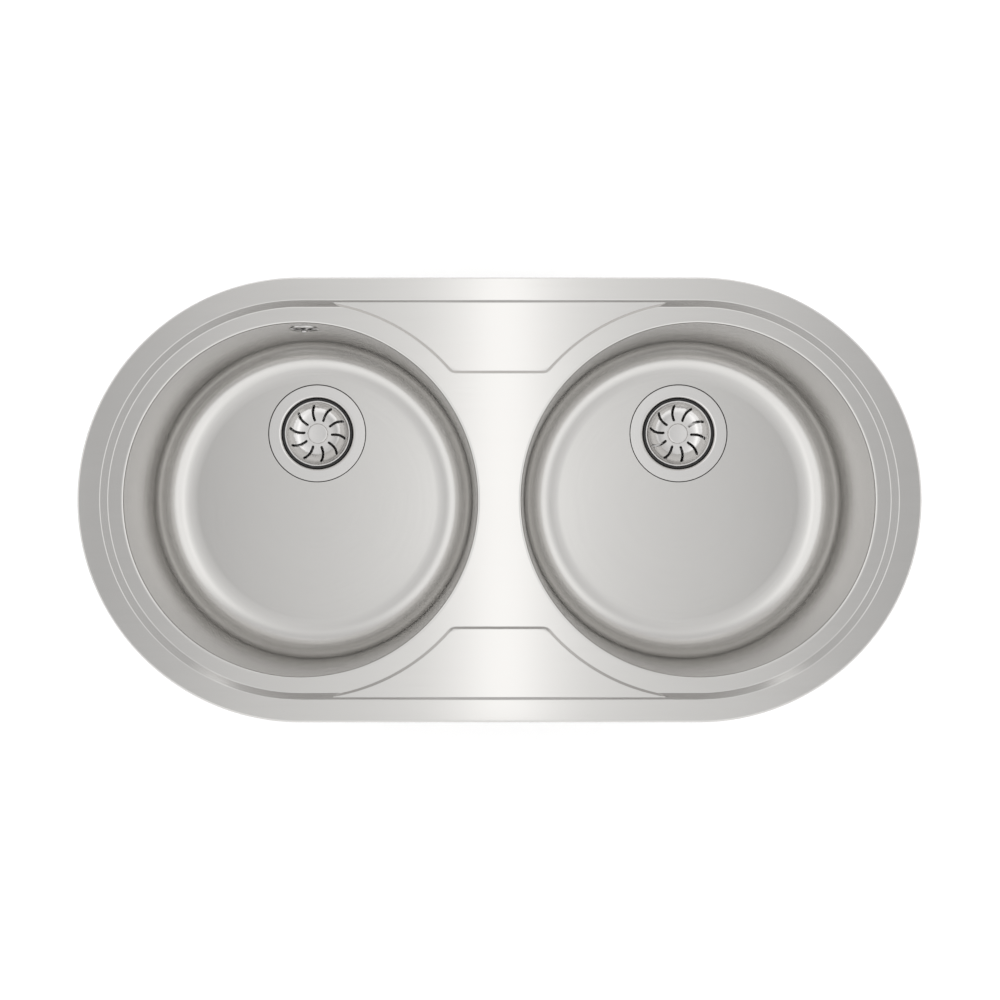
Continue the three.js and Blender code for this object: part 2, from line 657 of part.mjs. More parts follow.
const rosetteRadius = OVERFLOW_HOLE + ROSETTE_LAP;
const rosetteBack = rosetteRadius * Math.tan(Math.PI / ROUND_STEPS) + GAP; // clears the wall's curve
const rosetteFront = rosetteBack + ROSETTE_SHEET;
const elbowFace = -BOWL_WALL - 2 * GAP - OVERFLOW_GASKET;
const elbowRadius = OVERFLOW_HOLE + ELBOW_LAP;
const elbowFlange = elbowRadius + ELBOW_FLANGE;
const elbowBack = elbowFace - ELBOW_DEPTH;
const spigotAxis = elbowFace - SPIGOT_SET;
const hoseTop = elbowFlange + GAP;
const postHoleZ = elbowBack + 2 * ELBOW_WALL; // foot of the blind hole that takes the rosette's screw

function rosette() {
  const bore = ROSETTE_SCREW + 2 * GAP;
  const disc = turned([
    [bore, rosetteBack],
    [rosetteRadius, rosetteBack],
    [rosetteRadius, rosetteFront - ROSETTE_BEVEL],
    [rosetteRadius - ROSETTE_BEVEL_RUN, rosetteFront],
    [bore, rosetteFront],
  ]);
  const end = OVERFLOW_HOLE - WINDOW_MARGIN;
  const half = Math.PI / ROSETTE_WINDOWS - THREE.MathUtils.degToRad(WINDOW_BAR / 2);
  const corners = [[WINDOW_START, -half], [end, -half], [end, 0], [end, half], [WINDOW_START, half]];
  const outline = corners.map(([r, angle]) => new THREE.Vector2(r * Math.cos(angle), r * Math.sin(angle)));
  const window = loft([[outline, rosetteBack - CUT], [outline, rosetteFront + CUT]]);
  const windows = Array.from({ length: ROSETTE_WINDOWS },
    (_, i) => window.clone().rotateZ((2 * Math.PI * i) / ROSETTE_WINDOWS));
  return cut(disc, ...windows);
}

function rosetteScrew() {
  const seat = rosetteFront + GAP;
  const end = postHoleZ + 2 * GAP;
  return turned([
    [0, seat + HEAD_HEIGHT],
    [ROSETTE_HEAD - HEAD_ROUND, seat + HEAD_HEIGHT - HEAD_ROUND / 4],
    [ROSETTE_HEAD, seat + HEAD_HEIGHT - HEAD_ROUND],
    [ROSETTE_HEAD, seat],
    [ROSETTE_SCREW, seat],
    [ROSETTE_SCREW, end],
    [0, end],
  ], SMALL_STEPS);
}

// Chamber behind the wall with a spigot that points down and a post that takes the rosette's screw.
function overflowElbow() {
  const flange = rod(elbowFlange, elbowFace - ELBOW_FLANGE, elbowFace, ELBOW_STEPS);
  const chamber = rod(elbowRadius, elbowBack, elbowFace - ELBOW_FLANGE / 2, ELBOW_STEPS);
  const hollowRadius = elbowRadius - ELBOW_WALL;
  const hollow = rod(hollowRadius, elbowBack + ELBOW_WALL, elbowFace + CUT, ELBOW_STEPS);
  const post = rod(ROSETTE_SCREW + GAP + ELBOW_WALL, elbowBack + ELBOW_WALL / 2, -BOWL_WALL);
  const postHole = rod(ROSETTE_SCREW + GAP, postHoleZ, CUT);
  const down = (tube) => tube.rotateX(Math.PI / 2).translate(0, 0, spigotAxis);
  const start = elbowRadius - 2 * ELBOW_WALL;
  const spigot = down(rod(SPIGOT_RADIUS, start, hoseTop + SPIGOT_LENGTH));
  const bore = down(rod(SPIGOT_RADIUS - SPIGOT_WALL, start - CUT, hoseTop + SPIGOT_LENGTH + CUT));
  return cut(join(cut(join(flange, chamber, spigot), hollow, bore), post), postHole);
}

function overflowGasket() {
  const low = elbowFace + GAP;
  return ring(OVERFLOW_HOLE + GASKET_INSET / 2, elbowFlange, low, low + OVERFLOW_GASKET, ELBOW_STEPS);
}

place('overflow_rosette', rosette(), polishedSteel, overflow);
place('overflow_screw', rosetteScrew(), polishedSteel, overflow);
place('overflow_gasket', overflowGasket(), blackRubber, overflow);
place('overflow_elbow', overflowElbow(), whitePlastic, overflow);

// The hose leaves the elbow down along the bowl's wall and bends under the bowl to the waste's port.
overflow.updateMatrixWorld(true);
const hoseStart = new THREE.Vector3(0, -hoseTop, spigotAxis).applyMatrix4(overflow.matrixWorld);
const hoseDown = new THREE.Vector3(0, -Math.sin(draft), -Math.cos(draft));
const hoseEnd = new THREE.Vector3(-endX, drainY + portRoot + HOSE_STOP, portZ);
const hoseCorner = hoseStart.clone()
  .addScaledVector(hoseDown, (hoseStart.z - portZ) / Math.cos(draft));
const bendStart = hoseCorner.clone().addScaledVector(hoseDown, -HOSE_BEND);
const bendEnd = hoseCorner.clone().add(new THREE.Vector3(0, -HOSE_BEND, 0));
const roundness = 0.5523; // share of the bend that makes a cubic curve nearly round
const hosePath = new THREE.CurvePath();
hosePath.add(new THREE.LineCurve3(hoseStart, bendStart));
hosePath.add(new THREE.CubicBezierCurve3(
  bendStart,
  bendStart.clone().lerp(hoseCorner, roundness),
  bendEnd.clone().lerp(hoseCorner, roundness),
  bendEnd,
));
hosePath.add(new THREE.LineCurve3(bendEnd, hoseEnd));

const hoseBore = (SPIGOT_RADIUS + GAP) / Math.cos(Math.PI / HOSE_SIDES); // its flats clear the spigot
const hoseRoot = hoseBore + HOSE_WALL;

// Rings of the hose as [distance along it, radius]: out along ribs and cuffs, back along the bore.
function hoseRings(length) {
  const cuff = SPIGOT_LENGTH;
  const pitch = (length - 2 * cuff) / HOSE_RIBS;
  const [crest, root] = [0.35, 0.8]; // places in one rib's pitch
  const borePitch = 5; // ribs from one ring of the bore to the next
  const outside = [[0, hoseRoot], [cuff, hoseRoot]];
  for (let i = 0; i < HOSE_RIBS; i += 1) {
    outside.push([cuff + pitch * (i + crest), hoseRoot + HOSE_RIB]);
    outside.push([cuff + pitch * (i + root), hoseRoot]);
  }
  const inside = [[length, hoseBore], [length - cuff, hoseBore]];
  for (let i = HOSE_RIBS - borePitch; i > 0; i -= borePitch) inside.push([cuff + pitch * i, hoseBore]);
  return [...outside, [length, hoseRoot], ...inside, [cuff, hoseBore], [0, hoseBore]];
}

function ribbedHose(path) {
  const length = path.getLength();
  const rings = hoseRings(length);
  const across = new THREE.Vector3(1, 0, 0);
  const positions = rings.flatMap(([at, radius]) => {
    const centre = path.getPointAt(at / length);
    const outward = new THREE.Vector3().crossVectors(path.getTangentAt(at / length), across);
    return Array.from({ length: HOSE_SIDES }, (_, i) => {
      const angle = (2 * Math.PI * i) / HOSE_SIDES;
      return centre.clone()
        .addScaledVector(across, radius * Math.cos(angle))
        .addScaledVector(outward, radius * Math.sin(angle))
        .toArray();
    }).flat();
  });
  const faces = [];
  rings.forEach((_, k) => {
    const [here, next] = [k * HOSE_SIDES, ((k + 1) % rings.length) * HOSE_SIDES];
    for (let i = 0; i < HOSE_SIDES; i += 1) {
      const j = (i + 1) % HOSE_SIDES;
      faces.push(here + i, here + j, next + j, here + i, next + j, next + i);
    }
  });
  const geometry = new THREE.BufferGeometry();
  geometry.setAttribute('position', new THREE.Float32BufferAttribute(positions, 3));
  geometry.setIndex(faces);
  return geometry;
}

place('overflow_hose', ribbedHose(hosePath), greyPlastic);

// Band clamp about +Z with its screw housing on the +Y side.
function hoseClamp() {
  const inner = (hoseRoot + GAP) / Math.cos(Math.PI / ELBOW_STEPS);
  const outer = inner + CLAMP_SHEET;
  const half = CLAMP_WIDTH / 2;
  const reach = CLAMP_HOUSING / 2;
  const housing = block(-reach, reach, inner, outer + CLAMP_HEIGHT, LAP - half, half - LAP);
  const band = ring(inner, outer, -half, half, ELBOW_STEPS);
  return cut(join(band, housing), rod(inner, -half - CUT, half + CUT, ELBOW_STEPS));
}

// Turns a clamp's axis along Y, with its screw housing to the right.
const clampAxes = new THREE.Matrix4().makeBasis(
  new THREE.Vector3(0, 0, 1), new THREE.Vector3(1, 0, 0), new THREE.Vector3(0, 1, 0),
);
const clampTurn = new THREE.Quaternion().setFromRotationMatrix(clampAxes);
const upperClamp = place('hose_clamp_upper', hoseClamp(), zincSteel, overflow);
upperClamp.quaternion.copy(clampTurn);
upperClamp.position.set(0, -hoseTop - SPIGOT_LENGTH / 2, spigotAxis);
const lowerClamp = place('hose_clamp_lower', hoseClamp(), zincSteel);
lowerClamp.quaternion.copy(clampTurn);
lowerClamp.position.set(hoseEnd.x, hoseEnd.y + SPIGOT_LENGTH / 2, portZ);

// ---------------------------------------------------------------- fixing clips

// A clip's own +X points outward from the sink; its screw stands on the Z axis.
const footStart = mouthFlat + CLIP_MARGIN - clipRadius;
const footEnd = footStart + CLIP_FOOT;
const lipZ = bandZ - SHEET - CLIP_DROP; // underside of the bracket's lower lip
const toothZ = -WORKTOP - GAP;
const clawZ = toothZ - CLAW_TOOTH; // top of the claw's flat arm

function clipBracket(underside) {
  const topZ = underside - GAP;
  const bent = strip([
    [footStart, topZ - CLIP_SHEET],
    [footEnd - CLIP_SHEET, topZ - CLIP_SHEET],
    [footEnd - CLIP_SHEET, lipZ],
    [CLIP_LIP, lipZ],
    [CLIP_LIP, lipZ + CLIP_SHEET],
    [footEnd, lipZ + CLIP_SHEET],
    [footEnd, topZ],
    [footStart, topZ],
  ], CLIP_WIDTH);
  return cut(bent, rod(CLIP_SCREW + GAP, lipZ - CUT, lipZ + CUT, COARSE_STEPS));
}

function clipClaw() {
  const bent = strip([
    [-CLAW_TAIL, clawZ - CLAW_SHEET],
    [CLAW_REACH, clawZ - CLAW_SHEET],
    [CLAW_REACH, toothZ],
    [CLAW_REACH - CLAW_SHEET, toothZ],
    [CLAW_REACH - CLAW_SHEET, clawZ],
    [-CLAW_TAIL, clawZ],
  ], CLAW_WIDTH);
  return cut(bent, rod(CLIP_SCREW + GAP, clawZ - CUT, clawZ + CUT, COARSE_STEPS));
}

function clipScrew() {
  const headZ = clawZ - CLAW_SHEET - GAP;
  const endZ = lipZ + CLIP_SHEET + SCREW_PROUD;
  return turned([
    [0, endZ],
    [CLIP_SCREW, endZ - LAP],
    [CLIP_SCREW, headZ],
    [SCREW_HEAD, headZ],
    [SCREW_HEAD, headZ - SCREW_HEAD_HEIGHT],
    [0, headZ - SCREW_HEAD_HEIGHT],
  ], COARSE_STEPS);
}

const clipPlaces = {};
for (const [row, y] of [['front', -1], ['rear', 1]]) {
  for (const [side, x] of [['left', -1], ['right', 1]]) {
    clipPlaces[`${row}_${side}`] = {
      x: x * CLIP_SPAN,
      y: y * clipRadius,
      turn: (y * Math.PI) / 2,
      underside: islandZ - SHEET,
    };
    const angle = THREE.MathUtils.degToRad(CLIP_ANGLE);
    clipPlaces[`${side}_${row}`] = {
      x: x * (endX + clipRadius * Math.cos(angle)),
      y: y * clipRadius * Math.sin(angle),
      turn: Math.atan2(y * Math.sin(angle), x * Math.cos(angle)),
      underside: bandZ - SHEET,
    };
  }
}

for (const [where, { x, y, turn, underside }] of Object.entries(clipPlaces)) {
  const clip = placedGroup(x, y, 0);
  clip.rotation.z = turn;
  place(`clip_bracket_${where}`, clipBracket(underside), satinSteel, clip);
  place(`clip_claw_${where}`, clipClaw(), zincSteel, clip);
  place(`clip_screw_${where}`, clipScrew(), zincSteel, clip);
}

export default sink;
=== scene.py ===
"""Finish, fine meshes and studio for an inset kitchen sink with two round bowls.

Metres, +X to the right, +Y to the back, +Z up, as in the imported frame. The origin is the centre
of the worktop cut-out, in the plane of the worktop's top face.
"""

from math import asin, atan2, copysign, cos, degrees, hypot, pi, radians, sin, sqrt, tan

import bmesh
import bpy
from mathutils import Matrix, Vector
from mathutils.geometry import delaunay_2d_cdt


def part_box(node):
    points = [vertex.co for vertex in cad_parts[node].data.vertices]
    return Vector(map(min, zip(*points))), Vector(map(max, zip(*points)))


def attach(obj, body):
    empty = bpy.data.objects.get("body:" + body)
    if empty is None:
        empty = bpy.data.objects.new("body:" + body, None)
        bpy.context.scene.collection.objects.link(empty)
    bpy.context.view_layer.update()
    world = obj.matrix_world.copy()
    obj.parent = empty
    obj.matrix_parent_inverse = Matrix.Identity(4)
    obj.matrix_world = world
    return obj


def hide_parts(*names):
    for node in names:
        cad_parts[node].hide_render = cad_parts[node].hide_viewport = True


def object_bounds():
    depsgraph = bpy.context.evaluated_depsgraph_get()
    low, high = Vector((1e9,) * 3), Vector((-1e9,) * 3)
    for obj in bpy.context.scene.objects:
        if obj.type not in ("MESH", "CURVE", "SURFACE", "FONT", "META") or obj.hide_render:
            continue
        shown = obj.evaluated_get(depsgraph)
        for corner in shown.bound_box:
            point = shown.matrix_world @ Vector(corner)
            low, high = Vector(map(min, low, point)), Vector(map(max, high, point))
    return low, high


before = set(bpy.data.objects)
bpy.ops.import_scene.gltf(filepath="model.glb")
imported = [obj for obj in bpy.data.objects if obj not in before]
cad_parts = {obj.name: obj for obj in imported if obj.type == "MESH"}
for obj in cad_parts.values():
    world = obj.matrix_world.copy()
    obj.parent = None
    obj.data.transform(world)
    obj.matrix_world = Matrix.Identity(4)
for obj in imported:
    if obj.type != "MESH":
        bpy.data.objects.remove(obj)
cad_low, cad_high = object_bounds()
scene = bpy.context.scene

# ---- deck ----
# One pressed sheet of satin stainless steel that lies on the worktop. It has a raised rim with a
# rolled edge, a low band that runs round both bowls, and islands in front and at the back. A short
# collar turns down round each bowl's mouth, and the bowl is welded to it and ground smooth.

SHEET = 0.001
EDGE_ROUND = 0.0022
RIM_WIDTH = 0.0223  # outer edge to the top of the pressed slope
PRESS_RUN = 0.0066  # plan width of the slope around the low band
PRESS_ROUND = 0.00045  # half the width of a rounded press line
PRESS_LINES = (-1.6, -1, -0.5, 0, 0.5, 1, 1.6)  # rows of points along it, in half widths
BAND_DROP = 0.0076  # low band below the rim
BAND_WIDTH = 0.0126
ISLAND_DROP = 0.003  # islands below the rim
ISLAND_START = 0.1278  # centreline to an island's inner edge
ISLAND_RUN = 0.0021  # plan width of the short steep slope on an island's edges
ISLAND_CORNER = 0.004  # rounding of an island's inner corners in plan
ISLAND_BLEND = 0.0002  # height over which an island runs into the rim
LINE_LAP = 0.001  # straight press lines run on past the foot of the slope
MOUTH_ROUND = 0.003
COLLAR = 0.003
SKIRT_GAP = 0.0003  # rolled edge's foot above the worktop
CUT_ROUND = 0.0002  # worn edge of cut sheet
WALL_DRAFT = radians(2.6)
ROUND_STEPS = 256  # points round a circle
SIDE_STEPS = 28  # points along a straight side
ARC_STEPS = 72  # points along an island's curved edge
MERGE = 2e-6  # points nearer than this are one
EDGE_SLACK = 1e-5
SATIN_COLOR = (0.610, 0.600, 0.585)
COARSE_SCALE = 0.22  # coarse scratches beside the fine ones
COARSE_SHARE = 0.4
SCRATCH_TONE = 0.965  # share of the steel's colour in its scratches
CLOUD_CHANGE = 0.07  # share by which roughness drifts across the sheet

deck_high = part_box("deck")[1]
end_radius = deck_high.y
bowl_x = deck_high.x - end_radius
rim_z = deck_high.z
band_z = rim_z - BAND_DROP
island_z = rim_z - ISLAND_DROP
slope_top = end_radius - RIM_WIDTH
slope_foot = slope_top - PRESS_RUN
mouth_flat = slope_foot - BAND_WIDTH
island_foot = slope_top - ISLAND_RUN  # round a bowl
island_top = slope_top - PRESS_RUN * ISLAND_DROP / BAND_DROP  # foot of the rim beside an island
mouth_radius = mouth_flat - MOUTH_ROUND
wall_top_z = band_z - MOUTH_ROUND
collar_z = wall_top_z - COLLAR


def wall_radius(z):
    """Inside radius of a bowl's drafted wall."""
    return mouth_radius - (wall_top_z - z) * tan(WALL_DRAFT)


def circle(x, y, radius, steps=ROUND_STEPS):
    turns = [i * (2 * pi / steps) for i in range(steps)]
    return [(x + radius * cos(a), y + radius * sin(a)) for a in turns]


def arc(r, z, radius, start, end, steps):
    """Points [r, z] on an arc in a profile, angles in degrees from the outward direction."""
    turns = [radians(start + (end - start) * i / steps) for i in range(steps + 1)]
    return [(r + radius * cos(a), z + radius * sin(a)) for a in turns]


def bend(r, z, radius, start, end, steps=4):
    """The quarter arc, from start to end degrees, that rounds a profile's square corner [r, z]."""
    middle = radians((start + end) / 2)
    return arc(r - copysign(radius, cos(middle)),
               z - copysign(radius, sin(middle)), radius, start, end, steps)


def stadium(radius):
    """The deck's outline, or a line parallel to it, at a radius about the round ends' centres."""
    half = ROUND_STEPS // 2
    points = []
    for side in (1, -1):
        turns = [pi * (i / half - side / 2) for i in range(half + 1)]
        points += [(side * bowl_x + radius * cos(a), radius * sin(a)) for a in turns]
        shares = [1 - 2 * i / SIDE_STEPS for i in range(1, SIDE_STEPS)]
        points += [(side * bowl_x * share, side * radius) for share in shares]
    return points


def rounded_ramp(t, soft):
    """Rises from 0 to 1 between t = 0 and t = 1, with both corners rounded over +-soft."""
    def area(s):
        return 0 if s <= 0 else s * s / 2 if s <= 1 else s - 0.5
    return (area(t + soft) - area(t - soft)) / (2 * soft)


def rounded_max(a, b, soft):
    soft = min(soft, a, b)
    if soft <= 0:
        return max(a, b)
    near = max(soft - abs(a - b), 0) / soft
    return max(a, b) + near * near * soft / 4


def press_height(x, y):
    """Height of the pressed face above the worktop's plane, anywhere inside the rolled edge."""
    around = hypot(max(abs(x) - bowl_x, 0), y)
    rim = BAND_DROP * rounded_ramp((around - slope_foot) / PRESS_RUN, PRESS_ROUND / PRESS_RUN)
    if abs(x) >= bowl_x:
        return band_z + rim
    from_bowl = (hypot(bowl_x - abs(x), y) - island_foot) / ISLAND_RUN
    from_middle = (abs(y) - ISLAND_START + ISLAND_RUN) / ISLAND_RUN
    corner = ISLAND_CORNER / ISLAND_RUN
    near = max(corner - abs(from_bowl - from_middle), 0) / corner
    inward = min(from_bowl, from_middle) - near * near * corner / 4
    island = (island_z - band_z) * rounded_ramp(inward, PRESS_ROUND / ISLAND_RUN)
    return band_z + rounded_max(rim, island, ISLAND_BLEND)


def triangulated(lines, keep, merge=MERGE):
    """Plan points and triangles that follow the given lines. A line is (points, closed)."""
    coords = []
    edges = []
    for points, closed in lines:
        first = len(coords)
        coords += [Vector(p) for p in points]
        edges += [(first + i, first + i + 1) for i in range(len(points) - 1)]
        if closed:
            edges.append((len(coords) - 1, first))
    points, _, faces, *_ = delaunay_2d_cdt(coords, edges, [], 0, merge)
    triangles = [f for f in faces if keep(*(sum((points[i] for i in f), Vector((0, 0))) / 3))]
    return points, triangles


def add_skins(bm, plan, upper, lower=None):
    """Lays a triangulated plan at its upper height, and again at its lower height if it has one."""
    points, triangles = plan
    used = sorted({i for triangle in triangles for i in triangle})
    for height, way in ((upper, 1), (lower, -1)):
        if height:
            verts = {i: bm.verts.new((*points[i], height(*points[i]))) for i in used}
            for triangle in triangles:
                bm.faces.new([verts[i] for i in triangle[::way]])


def add_rows(bm, rows, closed=False):
    """Joins closed rows of equal point count with four-sided faces."""
    made = [[bm.verts.new(p) for p in row] for row in rows]
    pairs = list(zip(made, made[1:]))
    if closed:
        pairs.append((made[-1], made[0]))
    for low, high in pairs:
        for i in range(len(low)):
            j = (i + 1) % len(low)
            bm.faces.new((low[i], low[j], high[j], high[i]))
    return bm


def turned_rows(profile, steps=ROUND_STEPS, x=0.0, y=0.0):
    """Rows of points that a profile of [r, z] points passes through about an upright axis."""
    return [[(*p, z) for p in circle(x, y, r, steps)] for r, z in profile]


def turned(profile, steps, closed=False):
    """A form that a profile of [r, z] points sweeps out about Z."""
    return add_rows(bmesh.new(), turned_rows(profile, steps), closed)


def weld(bm):
    """Joins points that meet, and turns all faces outward."""
    bmesh.ops.remove_doubles(bm, verts=bm.verts, dist=MERGE)
    bmesh.ops.dissolve_degenerate(bm, edges=bm.edges, dist=MERGE / 20)
    bmesh.ops.recalc_face_normals(bm, faces=bm.faces)


def to_mesh(bm, name="form"):
    mesh = bpy.data.meshes.new(name)
    bm.to_mesh(mesh)
    bm.free()
    return mesh


def add_piece(name, bm, material, body, slot, node, place=Matrix(), crease=40, even=False):
    """Makes an object of what was built. It rides on its body and stands for its node. Even
    shading keeps large flat faces flat where a narrow round meets them."""
    weld(bm)
    mesh = to_mesh(bm, name)
    mesh.polygons.foreach_set("use_smooth", [True] * len(mesh.polygons))
    mesh.set_sharp_from_angle(angle=radians(crease))
    mesh.materials.append(material)
    made = bpy.data.objects.new(name, mesh)
    made.matrix_world = place
    scene.collection.objects.link(made)
    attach(made, body)
    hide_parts(node)
    if even:
        modifier = made.modifiers.new("even shading", "WEIGHTED_NORMAL")
        modifier.keep_sharp = True
        modifier.weight = 80
    return made


def connect(tree, sockets, inputs):
    """Sets or links sockets, by name or number."""
    for key, value in inputs.items():
        if isinstance(value, bpy.types.NodeSocket):
            tree.links.new(value, sockets[key])
        else:
            sockets[key].default_value = value


def add_node(tree, kind, inputs, **settings):
    """Adds a node, sets its properties and its inputs, and gives its outputs."""
    node = tree.nodes.new(f"ShaderNode{kind}")
    for key, value in settings.items():
        setattr(node, key, value)
    connect(tree, node.inputs, inputs)
    return node.outputs


def maths(tree, operation, *values):
    return add_node(tree, "Math", dict(enumerate(values)), operation=operation)[0]


def spread(tree, value, low, high, start=0.3, end=0.7):
    """Maps a value between start and end, where most noise lies, to low and high."""
    return add_node(tree, "MapRange", {
        "Value": value, "From Min": start, "From Max": end, "To Min": low, "To Max": high,
    })[0]


def blend(tree, factor, a, b):
    return add_node(tree, "Mix", {"Factor": factor, "A": a, "B": b})[0]


def mix_colors(tree, factor, dark, light):
    return add_node(tree, "Mix", {0: factor, 6: dark, 7: light}, data_type="RGBA")[2]


def noise(tree, vector, scale, detail):
    return add_node(tree, "TexNoise", {"Vector": vector, "Scale": scale, "Detail": detail})[0]


def new_group(name, numbers, outputs):
    """A node group that takes a vector and some numbers, with its input and output sockets."""
    group = bpy.data.node_groups.new(name, "ShaderNodeTree")
    add_socket = group.interface.new_socket
    add_socket("Vector", in_out="INPUT", socket_type="NodeSocketVector")
    for label, value in numbers.items():
        add_socket(label, in_out="INPUT", socket_type="NodeSocketFloat").default_value = value
    for label, kind in outputs.items():
        add_socket(label, in_out="OUTPUT", socket_type=f"NodeSocket{kind}")
    given = group.nodes.new("NodeGroupInput").outputs
    return group, given, group.nodes.new("NodeGroupOutput").inputs


def steel_grain_group():
    """Satin grain: fine scratches along the vector's X, and the soft cloud left by polishing."""
    group, given, put = new_group("steel_grain", {"Fineness": 900.0, "Length": 0.02},
                                  {"Scratches": "Float", "Cloud": "Float"})
    stretch = add_node(group, "CombineXYZ", {0: given["Length"], 1: 1.0, 2: 1.0})[0]
    along = add_node(group, "VectorMath", {0: given["Vector"], 1: stretch}, operation="MULTIPLY")[0]
    fine = noise(group, along, given["Fineness"], 3.0)
    coarse = noise(group, along, maths(group, "MULTIPLY", given["Fineness"], COARSE_SCALE), 2.0)
    connect(group, put, {"Scratches": blend(group, COARSE_SHARE, fine, coarse),
                         "Cloud": noise(group, given["Vector"], 16.0, 3.0)})
    return group


def around_axis_group():
    """Object coordinates turned into metres round an upright axis, outward from it, and up."""
    group, given, put = new_group("around_axis", {"Radius": 0.1}, {"Vector": "Vector"})
    parts = add_node(group, "SeparateXYZ", {0: given["Vector"]})
    way = maths(group, "MULTIPLY", maths(group, "ARCTAN2", parts["Y"], parts["X"]), given["Radius"])
    flat = add_node(group, "CombineXYZ", {0: parts["X"], 1: parts["Y"], 2: 0.0})[0]
    out = add_node(group, "VectorMath", {0: flat}, operation="LENGTH")["Value"]
    joined = add_node(group, "CombineXYZ", {0: way, 1: out, 2: parts["Z"]})[0]
    connect(group, put, {"Vector": joined})
    return group


steel_grain = steel_grain_group()
around_axis = around_axis_group()


def new_material(name):
    """An empty material with its node tree, its shader's inputs and its object coordinates."""
    material = bpy.data.materials.new(name)
    material.use_nodes = True
    tree = material.node_tree
    place = add_node(tree, "TexCoord", {})["Object"]
    return material, tree, tree.nodes["Principled BSDF"].inputs, place


def steel(name, color, roughness, change, fineness=900.0, length=0.02, depth=2e-5, turned=None):
    """Steel with a fine grain along its own X, or round its own Z at a typical radius if turned."""
    material, tree, shader, place = new_material(name)
    if turned:
        place = add_node(tree, "Group", {"Vector": place, "Radius": turned},
                         node_tree=around_axis)[0]
    grain = add_node(tree, "Group", {"Vector": place, "Fineness": fineness, "Length": length},
                     node_tree=steel_grain)
    scratches = grain["Scratches"]
    rough = spread(tree, scratches, roughness - change, roughness + change)
    cloud = spread(tree, grain["Cloud"], 1 - CLOUD_CHANGE, 1 + CLOUD_CHANGE)
    dark = [c * SCRATCH_TONE for c in color]
    bump = add_node(tree, "Bump", {"Height": scratches, "Strength": 1.0, "Distance": depth})[0]
    connect(tree, shader, {
        "Base Color": mix_colors(tree, spread(tree, scratches, 0.0, 1.0), (*dark, 1), (*color, 1)),
        "Roughness": maths(tree, "MULTIPLY", rough, cloud),
        "Normal": bump,
        "Metallic": 1.0,
    })
    return material


def deck_lines():
    """Lines that the deck's triangles follow: its edges, and several along each press line."""
    def along(*starts):
        return [start + PRESS_ROUND * share for start in starts for share in PRESS_LINES]
    lines = [(stadium(radius), True)
             for radius in (end_radius - EDGE_ROUND, *along(slope_foot, island_top, slope_top))]
    lines += [(circle(side * bowl_x, 0, mouth_flat), True) for side in (-1, 1)]
    for side, front in ((-1, -1), (-1, 1), (1, -1), (1, 1)):
        for radius in along(island_foot, slope_top):
            first = asin((ISLAND_START - ISLAND_RUN - ISLAND_CORNER) / radius)
            turns = [first + (pi / 2 - first) * i / ARC_STEPS for i in range(ARC_STEPS + 1)]
            lines.append(([(side * (bowl_x - radius * cos(a)), front * radius * sin(a))
                           for a in turns], False))
    for front in (-1, 1):
        for y in along(ISLAND_START - ISLAND_RUN, ISLAND_START):
            reach = bowl_x - sqrt((slope_foot - LINE_LAP) ** 2 - y * y)
            lines.append(([(reach * (i / 12 - 1), front * y) for i in range(25)], False))
    return lines


def deck_form():
    off_bowls = lambda x, y: hypot(abs(x) - bowl_x, y) > mouth_flat - EDGE_SLACK
    bm = bmesh.new()
    add_skins(bm, triangulated(deck_lines(), off_bowls), press_height,
              lambda x, y: press_height(x, y) - SHEET)
    edge = bend(end_radius, rim_z, EDGE_ROUND, 90, 0, 8)
    edge += bend(end_radius, SKIRT_GAP, CUT_ROUND, 0, -90, 2)
    edge += bend(end_radius - SHEET, SKIRT_GAP, CUT_ROUND, -90, -180, 2)
    edge += bend(end_radius - SHEET, rim_z - SHEET, EDGE_ROUND - SHEET, 0, 90, 5)
    add_rows(bm, [[(*p, z) for p in stadium(r)] for r, z in edge])
    side_on = 180 - degrees(WALL_DRAFT)
    mouth = arc(mouth_flat, wall_top_z, MOUTH_ROUND, 90, side_on, 12)
    mouth += [(wall_radius(collar_z), collar_z), (wall_radius(collar_z) + SHEET, collar_z)]
    mouth += arc(mouth_flat, wall_top_z, MOUTH_ROUND - SHEET, side_on, 90, 6)
    for side in (-1, 1):
        add_rows(bm, turned_rows(mouth, x=side * bowl_x))
    return bm


deck_steel = steel("deck_steel", SATIN_COLOR, roughness=0.14, change=0.03)
add_piece("deck_pressing", deck_form(), deck_steel, "sink", "satin_steel", "deck", crease=60,
          even=True)

# ---- rim seal ----
# A strip of grey closed-cell foam, glued under the rim behind the rolled edge. It keeps water from
# running under the deck, and the clips squeeze it against the worktop.

SEAL_WIDTH = 0.006
SEAL_ROUND = 0.0006
FOAM_DARK = (0.20, 0.20, 0.205, 1)
FOAM_LIGHT = (0.34, 0.34, 0.345, 1)
FINE_SHARE = 0.4  # of a mottled tone; the rest is a soft cloud


def mottle_group():
    """Fine unevenness of moulded, foamed or rolled material: its tone, and a height for bumps."""
    group, given, put = new_group("mottle", {"Scale": 200.0, "Cells": 0.0},
                                  {"Tone": "Float", "Height": "Float"})
    cloud = noise(group, given["Vector"], 30.0, 4.0)
    fine = noise(group, given["Vector"], given["Scale"], 4.0)
    cell = add_node(group, "TexVoronoi", {"Vector": given["Vector"], "Scale": given["Scale"]})[0]
    connect(group, put, {"Tone": blend(group, FINE_SHARE, cloud, fine),
                         "Height": blend(group, given["Cells"], fine, cell)})
    return group


mottle = mottle_group()


